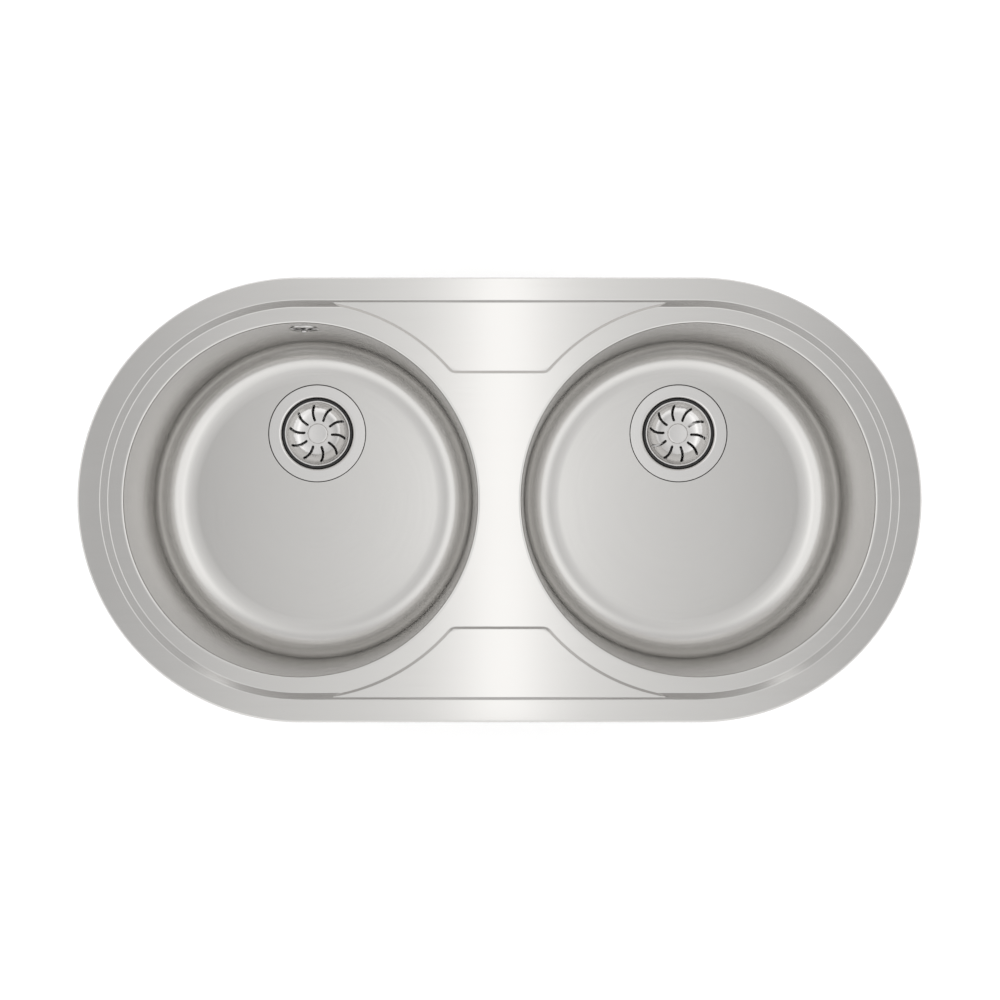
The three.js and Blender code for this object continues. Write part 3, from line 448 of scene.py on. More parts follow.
def mottled(name, dark, light, roughness, change, scale=200.0, cells=0.0, depth=1e-4, coat=0.0):
    """A non-metal with a mottled tone and a fine relief, as of foam, rubber or moulded plastic."""
    material, tree, shader, place = new_material(name)
    pattern = add_node(tree, "Group", {"Vector": place, "Scale": scale, "Cells": cells},
                       node_tree=mottle)
    height = pattern["Height"]
    bump = add_node(tree, "Bump", {"Height": height, "Strength": 1.0, "Distance": depth})[0]
    connect(tree, shader, {
        "Base Color": mix_colors(tree, spread(tree, pattern["Tone"], 0.0, 1.0), dark, light),
        "Roughness": spread(tree, height, roughness - change, roughness + change),
        "Normal": bump,
        "Coat Weight": coat,
    })
    return material


def rounded_section(inner, outer, low, high, corner):
    """Closed profile of a ring or tube with rounded corners."""
    corners = ((outer, high), (inner, high), (inner, low), (outer, low))
    return [p for i, at in enumerate(corners) for p in bend(*at, corner, 90 * i, 90 * i + 90)]


def foam_form():
    low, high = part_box("rim_seal")
    section = rounded_section(high.y - SEAL_WIDTH, high.y, low.z, high.z, SEAL_ROUND)
    return add_rows(bmesh.new(), [[(*p, z) for p in stadium(r)] for r, z in section], closed=True)


foam = mottled("foam", FOAM_DARK, FOAM_LIGHT, roughness=0.9, change=0.05, scale=1400.0, cells=0.8)
add_piece("rim_foam", foam_form(), foam, "sink", "grey_foam", "rim_seal")

# ---- bowls ----
# Two round bowls, deep drawn from stainless steel and seam welded to the deck's collars. The walls
# run down with a slight draft into a wide round, and the floor has a pressed seat for the waste.

BOWL_WALL = 0.001
WALL_ROWS = (-0.03, -0.06, -0.09)  # heights of the wall's rows of points
BOTTOM_ROUND = 0.040
FLANGE_PROUD = 0.0001  # strainer flange above the floor
FLANGE_WIDTH = 0.0107
FLANGE_GASKET = 0.0007
HOLE_CLEARANCE = 0.0015  # floor hole beyond the strainer's lip
SEAT_CLEARANCE = 0.00015
SEAT_SLOPE = 0.0007
SEAT_ROUND = 0.0004
GAP = 0.0003  # between two pieces that lie on each other
OVERFLOW_HOLE = 0.0125
OVERFLOW_DEPTH = 0.040
OVERFLOW_DRILL = (-0.008, 0.004)  # the hole's ends, from the wall's face

cup_low, cup_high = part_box("strainer_cup_left")
drain_y = (cup_low.y + cup_high.y) / 2
flange_radius = (cup_high.y - cup_low.y) / 2
flange_z = cup_high.z
floor_z = flange_z - FLANGE_PROUD
lip_radius = flange_radius - FLANGE_WIDTH
floor_hole = lip_radius + HOLE_CLEARANCE
seat_radius = flange_radius + SEAT_CLEARANCE
seat_rim = seat_radius + SEAT_SLOPE
seat_z = flange_z - SHEET - FLANGE_GASKET - 2 * GAP
round_z = floor_z + BOTTOM_ROUND
round_top_z = round_z - BOTTOM_ROUND * sin(WALL_DRAFT)
floor_radius = wall_radius(round_top_z) - BOTTOM_ROUND * cos(WALL_DRAFT)
overflow_y = wall_radius(-OVERFLOW_DEPTH)
drains = {"left": -bowl_x, "right": bowl_x}
wall_turn = Matrix.Rotation(pi / 2 - WALL_DRAFT, 4, "X")
hole_place = Matrix.Translation((0, overflow_y, -OVERFLOW_DEPTH)) @ wall_turn


def bowl_form():
    """Drawn shell with the pressed seat for the strainer's flange, about the bowl's own axis."""
    draft = degrees(WALL_DRAFT)
    wall = BOWL_WALL / cos(WALL_DRAFT)
    shell = arc(floor_radius, round_z, BOTTOM_ROUND + BOWL_WALL, -90, -draft, 16)
    shell += [(wall_radius(z) + wall, z) for z in (WALL_ROWS[1], collar_z)]
    shell += [(wall_radius(z), z) for z in (collar_z, *WALL_ROWS)]
    shell += arc(floor_radius, round_z, BOTTOM_ROUND, -draft, -90, 24)
    under_rim = seat_rim + SEAT_SLOPE
    seat = [(seat_rim, floor_z)]
    seat += arc(seat_radius - SEAT_ROUND / 2, seat_z + SEAT_ROUND, SEAT_ROUND, -30, -90, 3)
    seat += [(floor_hole, seat_z), (floor_hole, seat_z - BOWL_WALL)]
    seat += [(seat_rim - SEAT_ROUND, seat_z - BOWL_WALL), (under_rim, floor_z - BOWL_WALL)]
    half_steps = ROUND_STEPS // 2
    bm = add_rows(bmesh.new(), turned_rows(shell))
    add_rows(bm, turned_rows(seat, half_steps, y=drain_y))
    for radius, z in ((seat_rim, floor_z), (under_rim, floor_z - BOWL_WALL)):
        lines = [(circle(0, 0, floor_radius), True), (circle(0, drain_y, radius, half_steps), True)]
        off_drain = lambda x, y: hypot(x, y - drain_y) > radius
        add_skins(bm, triangulated(lines, off_drain), lambda x, y: z)
    return bm


def rod(radius, low, high, steps=64):
    """A closed round bar about Z."""
    profile = [(0, low), (radius, low), (radius, high), (0, high)]
    return turned(profile, steps)


def cut(bm, tool, place=Matrix()):
    """Takes one closed form, moved to its place, out of another."""
    tool.transform(place)
    forms = []
    for form in (bm, tool):
        weld(form)
        forms.append(bpy.data.objects.new("form", to_mesh(form)))
        scene.collection.objects.link(forms[-1])
    modifier = forms[0].modifiers.new("cut", "BOOLEAN")
    modifier.object = forms[1]
    modifier.operation = "DIFFERENCE"
    modifier.solver = "EXACT"
    left = bmesh.new()
    left.from_object(forms[0], bpy.context.evaluated_depsgraph_get())
    for form in forms:
        mesh = form.data
        bpy.data.objects.remove(form)
        bpy.data.meshes.remove(mesh)
    return left


bowl_steel = steel("bowl_steel", SATIN_COLOR, roughness=0.22, change=0.03, depth=8e-6, turned=0.15)
bowls = {"left": cut(bowl_form(), rod(OVERFLOW_HOLE, *OVERFLOW_DRILL), hole_place),
         "right": bowl_form()}
for side, x in drains.items():
    add_piece(f"bowl_{side}_shell", bowls[side], bowl_steel, "sink", "satin_steel", f"bowl_{side}",
              place=Matrix.Translation((x, 0, 0)), even=True)

# ---- sound pads ----
# A round bitumen pad is glued under each floor beside the waste, to deaden the sound of water. Its
# face is rolled with small squares.

PAD_ROUND = 0.0009
PAD_MARGIN = 0.0004  # between the squares and the pad's rounded edge
PAD_STEPS = 96
PAD_MERGE = 1e-5
SQUARES = 0.008  # pitch of the squares in the pad's face
GROOVE = 0.0012  # width between two squares
GROOVE_SIDE = 0.0003
GROOVE_DEPTH = 0.0004
SLACK = 1e-6
PAD_DARK = (0.055, 0.055, 0.06, 1)
PAD_LIGHT = (0.105, 0.105, 0.11, 1)

pad_tar = mottled("pad_tar", PAD_DARK, PAD_LIGHT, roughness=0.82, change=0.08, scale=700.0,
                  cells=0.3, depth=2e-4)


def pad_form(radius, low, high):
    """A disc with a rounded edge, whose lower face is grooved into squares."""
    reach = radius - PAD_ROUND - PAD_MARGIN
    half = int(reach / SQUARES)
    face_edge = (circle(0, 0, radius - PAD_ROUND, PAD_STEPS), True)
    lines = [face_edge, (circle(0, 0, reach, PAD_STEPS), True)]
    for i in range(-half, half + 1):
        for side in (-GROOVE / 2 - GROOVE_SIDE, -GROOVE / 2, GROOVE / 2, GROOVE / 2 + GROOVE_SIDE):
            at = i * SQUARES + side
            end = sqrt(max(reach * reach - at * at, 0.0))
            lines += [([(at, -end), (at, end)], False), ([(-end, at), (end, at)], False)]

    def face(x, y):
        if hypot(x, y) > reach - SLACK:
            return low
        off_groove = min(abs((v + SQUARES / 2) % SQUARES - SQUARES / 2) for v in (x, y))
        return low + GROOVE_DEPTH if off_groove < GROOVE / 2 + SLACK else low

    inside = lambda x, y: hypot(x, y) < radius
    bm = bmesh.new()
    add_skins(bm, triangulated(lines, inside, PAD_MERGE), face)
    add_skins(bm, triangulated([face_edge], inside), lambda x, y: high)
    edge = bend(radius, low, PAD_ROUND, -90, 0, 5) + bend(radius, high, PAD_ROUND, 0, 90, 5)
    return add_rows(bm, turned_rows(edge, PAD_STEPS))


for side, x in drains.items():
    low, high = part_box(f"sound_pad_{side}")
    pad = pad_form((high.y - low.y) / 2, low.z, high.z)
    add_piece(f"sound_pad_{side}_sheet", pad, pad_tar, "sink", "sound_pad", f"sound_pad_{side}",
              place=Matrix.Translation((x, (low.y + high.y) / 2, 0)), crease=30)

# ---- strainer cups ----
# Drawn from thin stainless steel. The flange lies in the floor's pressed seat, a ledge inside the
# lip carries the basket, and the base has a ring of drain holes round the guide bush.

CUP_WALL = 0.001
CUP_TAPER = 0.003  # well's foot narrower than its top
LIP_ROUND = 0.0034
LEDGE = 0.0022
LEDGE_ROUND = 0.0004
FLANGE_EDGE = 0.0005
FOOT_ROUND = 0.0015
BUSH_ROUND = 0.0004
BUSH_HEIGHT = 0.013
BUSH_WALL = 0.0017
BUSH_FLOOR = 0.0018
CUP_HOLES = 6
CUP_WEB = 0.0042  # metal left inside and outside the holes
STEM_RADIUS = 0.006
SHANK_RADIUS = 0.003
WORN = 0.00012  # rounding of a punched edge
CUP_STEPS = 128  # points round a strainer's pieces
POLISHED_COLOR = (0.66, 0.65, 0.64)

cup_radius = lip_radius - LIP_ROUND
well_top = cup_radius - LEDGE
well_foot = well_top - CUP_TAPER
cup_base_z = cup_low.z + CUP_WALL
ledge_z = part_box("basket_seal_left")[0].z - GAP
bush_bore = STEM_RADIUS + GAP
bush_radius = bush_bore + BUSH_WALL
screw_seat_z = cup_base_z + BUSH_FLOOR
drain_places = {side: Matrix.Translation((x, drain_y, 0)) for side, x in drains.items()}


def within(x, y, outline):
    crossings = 0
    for (ax, ay), (bx, by) in zip(outline, outline[1:] + outline[:1]):
        if (ay > y) != (by > y) and x < ax + (y - ay) / (by - ay) * (bx - ax):
            crossings += 1
    return crossings % 2 == 1


def add_punched_sheet(bm, lines, holes, inside, upper, lower):
    """A sheet between two heights. A hole is given as its outline at the faces and in the wall."""
    wide = [outline for outline, _ in holes]
    keep = lambda x, y: inside(x, y) and not any(within(x, y, outline) for outline in wide)
    add_skins(bm, triangulated(lines + [(outline, True) for outline in wide], keep), upper, lower)
    for outline, wall in holes:
        rows = [[(*p, upper(*p)) for p in outline], [(*p, upper(*p) - WORN) for p in wall]]
        rows += [[(*p, lower(*p) + WORN) for p in wall], [(*p, lower(*p)) for p in outline]]
        add_rows(bm, rows)


def cup_form():
    base_edge = well_foot - FOOT_ROUND
    bush_foot = bush_radius + BUSH_ROUND
    bush_top = cup_base_z + BUSH_HEIGHT
    under_z = cup_base_z - CUP_WALL
    wall = arc(base_edge, cup_base_z + FOOT_ROUND, FOOT_ROUND, -90, -5, 5)
    wall += arc(well_top + LEDGE_ROUND, ledge_z - LEDGE_ROUND, LEDGE_ROUND, 175, 90, 4)
    wall += bend(cup_radius, ledge_z, LEDGE_ROUND, -90, 0)
    wall += arc(lip_radius, flange_z - LIP_ROUND, LIP_ROUND, 180, 90, 14)
    wall += bend(flange_radius, flange_z, FLANGE_EDGE, 90, 0)
    wall += [(flange_radius, flange_z - CUP_WALL)]
    wall += arc(lip_radius, flange_z - LIP_ROUND, LIP_ROUND - CUP_WALL, 90, 180, 8)
    wall += [(cup_radius + CUP_WALL, ledge_z - CUP_WALL), (well_top + CUP_WALL, ledge_z - CUP_WALL)]
    wall += arc(base_edge, cup_base_z + FOOT_ROUND, FOOT_ROUND + CUP_WALL, -5, -90, 6)
    bush = arc(bush_foot, cup_base_z + BUSH_ROUND, BUSH_ROUND, -90, -180, 4)
    bush += bend(bush_radius, bush_top, BUSH_ROUND, 0, 90)
    bush += bend(bush_bore, bush_top, BUSH_ROUND, 90, 180)
    bush += [(bush_bore, screw_seat_z), (SHANK_RADIUS + GAP, screw_seat_z)]
    bush += [(SHANK_RADIUS + GAP, under_z), (bush_foot, under_z)]
    hole_radius = (well_foot - bush_radius) / 2 - CUP_WEB
    hole_line = (well_foot + bush_radius) / 2
    turns = [2 * pi * i / CUP_HOLES for i in range(CUP_HOLES)]
    centres = [(hole_line * cos(a), hole_line * sin(a)) for a in turns]
    radii = (hole_radius + WORN, hole_radius)
    holes = [[circle(*c, radius, 48) for radius in radii] for c in centres]
    lines = [(circle(0, 0, radius, CUP_STEPS), True) for radius in (bush_foot, base_edge)]
    bm = bmesh.new()
    add_punched_sheet(bm, lines, holes, lambda x, y: bush_foot < hypot(x, y) < base_edge,
                      lambda x, y: cup_base_z, lambda x, y: under_z)
    add_rows(bm, turned_rows(wall, CUP_STEPS))
    return add_rows(bm, turned_rows(bush, CUP_STEPS))


def add_pair(name, form, material, body, slot, node, **how):
    """Adds a left and a right piece, each at its drain. Braces in a name stand for the side."""
    for side, place in drain_places.items():
        add_piece(name.format(side), form(), material, body.format(side), slot, node.format(side),
                  place=place, **how)


cup_steel = steel("cup_steel", POLISHED_COLOR, roughness=0.15, change=0.03, fineness=1500.0,
                  turned=0.045)
add_pair("strainer_{}", cup_form, cup_steel, "sink", "polished_steel", "strainer_cup_{}", even=True)

# ---- waste gaskets ----
# Black moulded rubber. A thin ring lies between the strainer's flange and the floor's seat, and a
# thick one with two sealing grooves is squeezed between the floor and the plastic waste body.

GASKET_ROUND = 0.0003
GASKET_INSET = 0.0005
RUBBER_DARK = (0.010, 0.010, 0.011, 1)
RUBBER_LIGHT = (0.028, 0.027, 0.027, 1)
BODY_GASKET = 0.0097  # width of the thick ring
GROOVE_RADII = (0.0467, 0.0437)
SEALING_GROOVE = 0.0006

rubber = mottled("rubber", RUBBER_DARK, RUBBER_LIGHT, roughness=0.5, change=0.1, scale=900.0,
                 depth=4e-5)


def ring_form(section, steps=CUP_STEPS):
    return turned(section, steps, closed=True)


def flange_ring():
    low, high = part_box("flange_gasket_left")
    return ring_form(rounded_section(floor_hole + GASKET_INSET, (high.y - low.y) / 2, low.z, high.z,
                                     GASKET_ROUND))


def body_ring():
    low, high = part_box("body_gasket_left")
    outer = (high.y - low.y) / 2
    section = rounded_section(outer - BODY_GASKET, outer, low.z, high.z, GASKET_ROUND)
    corner = len(section) // 4
    grooves = [p for r in GROOVE_RADII for p in arc(r, high.z, SEALING_GROOVE, 0, -180, 6)]
    return ring_form(section[:corner] + grooves + section[corner:])


for side, place in drain_places.items():
    for kind, form in (("flange", flange_ring), ("body", body_ring)):
        add_piece(f"{kind}_ring_{side}", form(), rubber, "sink", "black_rubber",
                  f"{kind}_gasket_{side}", place=place)

# ---- waste bodies ----
# White moulded plastic. A wide flange with a fluted edge takes the long screw's pull through three
# arms and a hub, and a funnel leads to the threaded outlet. The left one has the overflow's port.

BODY_CLEARANCE = 0.0017
BODY_WALL = 0.0026
BODY_FLANGE = 0.004
BODY_FUNNEL = 0.016
BODY_ROUND = 0.0006
BODY_FILLET = 0.0016
FLUTES = 64  # grip flutes round the flange
FLUTE_DEPTH = 0.0006
ARM_DROP = 0.0015
ARM_HEIGHT = 0.0048
ARM_WIDTH = 0.003
ARM_ROUND = 0.0005
ARM_LAP = 0.001  # arm inside the hub
ARM_COUNT = 3
ARM_PHASE = 30  # degrees, keeps the port between two arms
HUB_DEPTH = 0.012
HUB_FLOOR = 0.002
OUTLET_BORE = 0.021
THREAD_PITCH = 0.0023
THREAD_DEPTH = 0.0009
THREAD_LENGTH = 0.019
PORT_RADIUS = 0.0076
PORT_WALL = 0.0014
PORT_LENGTH = 0.022
PORT_ROUND = 0.0004
PORT_SET = 0.7  # depth of the port's foot in the wall, in its own walls
DRILL_LAP = 0.005  # a drilled hole runs on past the wall
PLASTIC_DARK = (0.72, 0.715, 0.70, 1)
PLASTIC_LIGHT = (0.80, 0.795, 0.78, 1)

white_plastic = mottled("white_plastic", PLASTIC_DARK, PLASTIC_LIGHT, roughness=0.38, change=0.06,
                        scale=600.0, depth=3e-5, coat=0.1)

body_low, body_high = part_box("waste_body_right")
body_flange = (body_high.y - body_low.y) / 2
body_bore = cup_radius + CUP_WALL + BODY_CLEARANCE
body_outer = body_bore + BODY_WALL
arm_z = cup_low.z - ARM_DROP
well_z = arm_z - ARM_HEIGHT
outlet_z = well_z - BODY_FUNNEL
hub_bore_z = arm_z - HUB_DEPTH + HUB_FLOOR
port_z = (body_high.z - BODY_FLANGE + well_z) / 2
to_back = Matrix.Translation((0, 0, port_z)) @ Matrix.Rotation(-pi / 2, 4, "X")


def uneven_row(z, steps, radius_at):
    """A closed row of points at one height, whose radius changes with its turn."""
    turns = [2 * pi * i / steps for i in range(steps)]
    return [(radius_at(a) * cos(a), radius_at(a) * sin(a), z) for a in turns]


def threaded_rows(radius, depth, pitch, low, high, steps):
    """Rows of points on a screw thread about Z that fades out at both ends."""
    count = round((high - low) / pitch * 8)
    rows = []
    for z in [low + (high - low) * k / count for k in range(count + 1)]:
        sunk = depth * min(1, (z - low) / pitch, (high - z) / pitch)
        wave = lambda a: 0.5 - 0.5 * cos(2 * pi * z / pitch - a)
        rows.append(uneven_row(z, steps, lambda a: radius - sunk * wave(a)))
    return rows


def fluted_rows(radius, low, high, steps):
    """Rows of points on a round edge with upright grip flutes."""
    rows = []
    for z, share in ((low, 0), (low + BODY_ROUND, 1), (high - BODY_ROUND, 1), (high, 0)):
        flute = lambda a: FLUTE_DEPTH * (0.5 + 0.5 * cos(FLUTES * a)) * share
        rows.append(uneven_row(z, steps, lambda a: radius - BODY_ROUND * (1 - share) - flute(a)))
    return rows


def block(low, high, corner):
    """A block between two corners, with rounded edges."""
    bm = bmesh.new()
    bmesh.ops.create_cube(bm, size=1)
    size = Vector(high) - Vector(low)
    bmesh.ops.scale(bm, vec=size, verts=bm.verts)
    bmesh.ops.translate(bm, vec=Vector(low) + size / 2, verts=bm.verts)
    bmesh.ops.bevel(bm, geom=bm.edges[:], offset=corner, segments=3, profile=0.5, affect="EDGES")
    return bm


def add_form(bm, form, place=Matrix()):
    """Adds another form, moved to its place."""
    form.transform(place)
    mesh = to_mesh(form)
    bm.from_mesh(mesh)
    bpy.data.meshes.remove(mesh)
    return bm


def with_port(bm, drill, tube, place):
    """Drills a wall and sets a tube for the hose in the hole. Both are given by their ends."""
    bm = cut(bm, rod(PORT_RADIUS - PORT_WALL / 2, *drill), place)
    section = rounded_section(PORT_RADIUS - PORT_WALL, PORT_RADIUS, *tube, PORT_ROUND)
    return add_form(bm, ring_form(section, 48), place)


def waste_form(side):
    steps = FLUTES * 4
    outlet_outer = OUTLET_BORE + BODY_WALL
    under_flange = body_high.z - BODY_FLANGE
    thread_top = body_low.z + BODY_ROUND + THREAD_LENGTH
    ease = BODY_FILLET / 4
    rows = turned_rows(bend(OUTLET_BORE, body_low.z, BODY_ROUND, 180, 270), steps)
    rows += threaded_rows(outlet_outer, THREAD_DEPTH, THREAD_PITCH, body_low.z, thread_top, steps)
    rise = [(outlet_outer, outlet_z - BODY_FILLET), (outlet_outer + ease, outlet_z)]
    rise += [(body_outer - ease, well_z - ease), (body_outer, well_z + BODY_FILLET)]
    rise += bend(body_outer, under_flange, BODY_FILLET, 180, 90, 5)
    rows += turned_rows(rise, steps)
    rows += fluted_rows(body_flange, under_flange, body_high.z, steps)
    inside = bend(body_bore, body_high.z, BODY_ROUND, 90, 180)
    rows += turned_rows(inside + [(body_bore, well_z), (OUTLET_BORE, outlet_z)], steps)
    bm = add_rows(bmesh.new(), rows, closed=True)
    if side == "left":
        drill = (body_bore - DRILL_LAP, body_outer + DRILL_LAP)
        tube = (body_bore + PORT_WALL * PORT_SET, body_outer + PORT_LENGTH)
        bm = with_port(bm, drill, tube, to_back)
    for i in range(ARM_COUNT):
        arm = block((bush_radius - ARM_LAP, -ARM_WIDTH / 2, well_z),
                    (body_bore + BODY_WALL / 2, ARM_WIDTH / 2, arm_z), ARM_ROUND)
        add_form(bm, arm, Matrix.Rotation(radians(ARM_PHASE + 360 / ARM_COUNT * i), 4, "Z"))
    hub_foot = arm_z - HUB_DEPTH
    hub = [(0, hub_foot)] + bend(bush_radius, hub_foot, BODY_ROUND, -90, 0)
    hub += bend(bush_radius, arm_z, BODY_ROUND, 0, 90)
    hub += [(SHANK_RADIUS + GAP, arm_z), (SHANK_RADIUS + GAP, hub_bore_z), (0, hub_bore_z)]
    return add_rows(bm, turned_rows(hub, 64))


for side, place in drain_places.items():
    add_piece(f"waste_{side}", waste_form(side), white_plastic, "sink", "white_plastic",
              f"waste_body_{side}", place=place, crease=35)

# ---- waste screws ----
# A long stainless screw through the cup's base, threaded into the waste body's hub. Its slotted
# round head sits at the foot of the guide bush, and it clamps cup, gaskets and body on the floor.

HEAD_INSET = 0.0005
HEAD_ROUND = 0.0005
SCREW_SLOT = 0.0016
SLOT_DEPTH = 0.0014
SLOT_TOOL = 0.008  # half the length of the cutter for a driver's slot
SLOT_OVER = 0.001  # cutter above the head
TOOL_ROUND = 0.0001
SCREW_PITCH = 0.001
SCREW_THREAD = 0.0005

screw_low, screw_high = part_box("waste_screw_left")
waste_head = STEM_RADIUS - HEAD_INSET
waste_head_z = screw_seat_z + GAP
screw_steel = steel("screw_steel", POLISHED_COLOR, roughness=0.2, change=0.05, fineness=2500.0,
                    turned=0.004)


def waste_screw_form():
    rows = turned_rows([(0, screw_low.z), (SHANK_RADIUS - SCREW_THREAD, screw_low.z)], 48)
    rows += threaded_rows(SHANK_RADIUS, SCREW_THREAD, SCREW_PITCH, screw_low.z + SCREW_THREAD,
                          waste_head_z - SCREW_PITCH, 48)
    head = [(SHANK_RADIUS, waste_head_z), (waste_head, waste_head_z)]
    head += bend(waste_head, screw_high.z, HEAD_ROUND, 0, 90)
    head += [(0, screw_high.z)]
    slot = block((-SLOT_TOOL, -SCREW_SLOT / 2, screw_high.z - SLOT_DEPTH),
                 (SLOT_TOOL, SCREW_SLOT / 2, screw_high.z + SLOT_OVER), TOOL_ROUND)
    return cut(add_rows(bmesh.new(), rows + turned_rows(head, 48)), slot)


add_pair("long_screw_{}", waste_screw_form, screw_steel, "sink", "polished_steel",
         "waste_screw_{}")

# ---- basket pans ----
# Pressed and polished stainless steel, turned fine after pressing. The dish has ten punched slots
# that swirl out from the knob, and a flat rim that holds the rubber seal.

PAN_SHEET = 0.0008
PAN_RIM = 0.0012
PAN_MARGIN = 0.003  # flat of the pan beyond the knob
PAN_EDGE = 0.0002
PAN_LAP = 0.0006  # punched sheet beyond the slots
RIM_ROUND = 0.0006
RIM_SET = 0.0004  # centre of the rim's round beyond the dish
RIM_START = 125  # degrees at which that round leaves the dish
KNOB_RADIUS = 0.011
NECK_RADIUS = 0.0036
SLOT_COUNT = 10
SLOT_WIDTH = 0.0026
SLOT_MARGIN = 0.0042  # dished edge to the slots' outer ends
SLOT_PHASE = -3.8  # degrees
SLOT_LEAN = 6.5  # degrees that a slot turns forward along its length
SLOT_SWEEP = 13.5  # degrees that it is drawn back again at its outer end
DISH_SHARE = 0.85  # how much of a quarter of an ellipse the dish's profile follows
PAN_GLOSS = 0.5  # how far the turned finish draws a highlight out across its lines

pan_low, pan_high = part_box("basket_pan_left")
pan_radius = (pan_high.y - pan_low.y) / 2
pan_dish = pan_radius - PAN_RIM
pan_flat = KNOB_RADIUS + PAN_MARGIN
pan_z = pan_low.z + PAN_SHEET
pan_depth = pan_high.z - pan_z
dish_run = pan_dish - pan_flat


def dish_height(r, offset=0.0):
    """Height of the dish's face, or of its underside at an offset of one sheet."""
    share = max(r - pan_flat, 0) / (dish_run + offset) * DISH_SHARE
    left = sqrt(1 - DISH_SHARE * DISH_SHARE)
    return pan_high.z - (pan_depth + offset) * (sqrt(1 - share * share) - left) / (1 - left)


def slot_outline(index, half):
    """One swirled slot with round ends: it leans forward and is drawn back at its outer end."""
    steps = 14
    inner = pan_flat + SLOT_WIDTH / 2
    outer = pan_dish - SLOT_MARGIN
    start = SLOT_PHASE + 360 / SLOT_COUNT * index
    path = []
    for i in range(steps + 1):
        s = i / steps
        turn = radians(start + SLOT_LEAN * s - SLOT_SWEEP * s * s)
        path.append(Vector((cos(turn), sin(turn))) * (inner + (outer - inner) * s))
    spans = [(path[max(i - 1, 0)], path[min(i + 1, steps)]) for i in range(steps + 1)]
    aheads = [(b - a).normalized() for a, b in spans]
    right = [p + Vector((a.y, -a.x)) * half for p, a in zip(path, aheads)]
    left = [p - Vector((a.y, -a.x)) * half for p, a in zip(path, aheads)]
    caps = []
    for end, ahead in ((path[-1], aheads[-1]), (path[0], -aheads[0])):
        first = atan2(ahead.y, ahead.x) - pi / 2
        turns = [first + pi * i / 8 for i in range(1, 8)]
        caps.append([end + Vector((cos(a), sin(a))) * half for a in turns])
    return [tuple(p) for p in right + caps[0] + left[::-1] + caps[1]]


def pan_form():
    hole = NECK_RADIUS + GAP
    dish_edge = pan_dish - SLOT_MARGIN + SLOT_WIDTH / 2 + PAN_LAP
    radii = [hole, pan_flat] + [pan_flat + (dish_edge - pan_flat) * i / 12 for i in range(1, 13)]
    lines = [(circle(0, 0, r, CUP_STEPS), True) for r in radii]
    slots = [[slot_outline(i, SLOT_WIDTH / 2 + worn) for worn in (WORN, 0)]
             for i in range(SLOT_COUNT)]
    bm = bmesh.new()
    add_punched_sheet(bm, lines, slots, lambda x, y: hole < hypot(x, y) < dish_edge,
                      lambda x, y: dish_height(hypot(x, y)),
                      lambda x, y: dish_height(hypot(x, y), PAN_SHEET))
    dish_end = pan_dish - PAN_EDGE
    radii = [dish_edge + (dish_end - dish_edge) * i / 6 for i in range(7)]
    rim = [(r, dish_height(r)) for r in radii]
    rim += arc(pan_dish + RIM_SET, pan_high.z - RIM_ROUND, RIM_ROUND, RIM_START, 90, 4)
    rim += bend(pan_radius, pan_high.z, PAN_EDGE, 90, 0, 2)
    rim += bend(pan_radius, pan_high.z - PAN_SHEET, PAN_EDGE, 0, -90, 2)
    rim += [(r, dish_height(r, PAN_SHEET)) for r in reversed(radii)]
    add_rows(bm, turned_rows(rim, CUP_STEPS))
    return add_rows(bm, turned_rows([(hole, pan_z), (hole, pan_z - PAN_SHEET)], CUP_STEPS))


def draw_out(material, amount):
    """Turned finish: highlights spread across the lines that run round the piece's own Z."""
    tree = material.node_tree
    around = add_node(tree, "Tangent", {}, direction_type="RADIAL", axis="Z")[0]
    connect(tree, tree.nodes["Principled BSDF"].inputs, {"Anisotropic": amount, "Tangent": around})


pan_steel = steel("pan_steel", POLISHED_COLOR, roughness=0.16, change=0.04, fineness=2200.0,
                  turned=0.025)
draw_out(pan_steel, PAN_GLOSS)
pan = pan_form()
add_pair("pan_{}", pan.copy, pan_steel, "basket_{}", "polished_steel", "basket_pan_{}", even=True)
pan.free()

# ---- basket seals ----
# Black rubber ring held on the pan's rim, with a rounded upper face and a lip round its foot. It
# rests on the ledge in the strainer cup and lifts out with the basket.

SEAL_WALL = 0.0024
SEAL_CORNER = 0.0008
SEAL_GROOVE = 0.0005


def seal_form():
    low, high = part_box("basket_seal_left")
    outer = (high.y - low.y) / 2
    section = rounded_section(outer - SEAL_WALL, outer, low.z, high.z, SEAL_CORNER)
    section += arc(outer + SEAL_GROOVE / 2, (low.z + high.z) / 2, SEAL_GROOVE, -120, -240, 6)
    return ring_form(section)


add_pair("seal_ring_{}", seal_form, rubber, "basket_{}", "black_rubber", "basket_seal_{}")

# ---- basket knobs ----
# The finger knob in the middle of each basket is a plain polished cap of stainless steel, slightly
# dished on top with a rounded edge, and it snaps over the plastic stem.

KNOB_ROUND = 0.0013
KNOB_DIP = 0.0005
KNOB_TOP = 0.0016
KNOB_FOOT = 0.0003

knob_low, knob_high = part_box("basket_knob_left")
knob_steel = steel("knob_steel", POLISHED_COLOR, roughness=0.12, change=0.03, fineness=2200.0,
                   turned=0.008)


def knob_form():
    flat = KNOB_RADIUS - KNOB_ROUND
    shares = [i / 8 for i in range(8)]
    cap = [(flat * s, knob_high.z - KNOB_DIP * (1 - s * s)) for s in shares]
    cap += bend(KNOB_RADIUS, knob_high.z, KNOB_ROUND, 90, 0, 8)
    cap += bend(KNOB_RADIUS, knob_low.z, KNOB_FOOT, 0, -90, 2)
    neck = NECK_RADIUS + GAP
    cap += [(neck, knob_low.z), (neck, knob_high.z - KNOB_TOP), (0, knob_high.z - KNOB_TOP)]
    return turned(cap, CUP_STEPS)


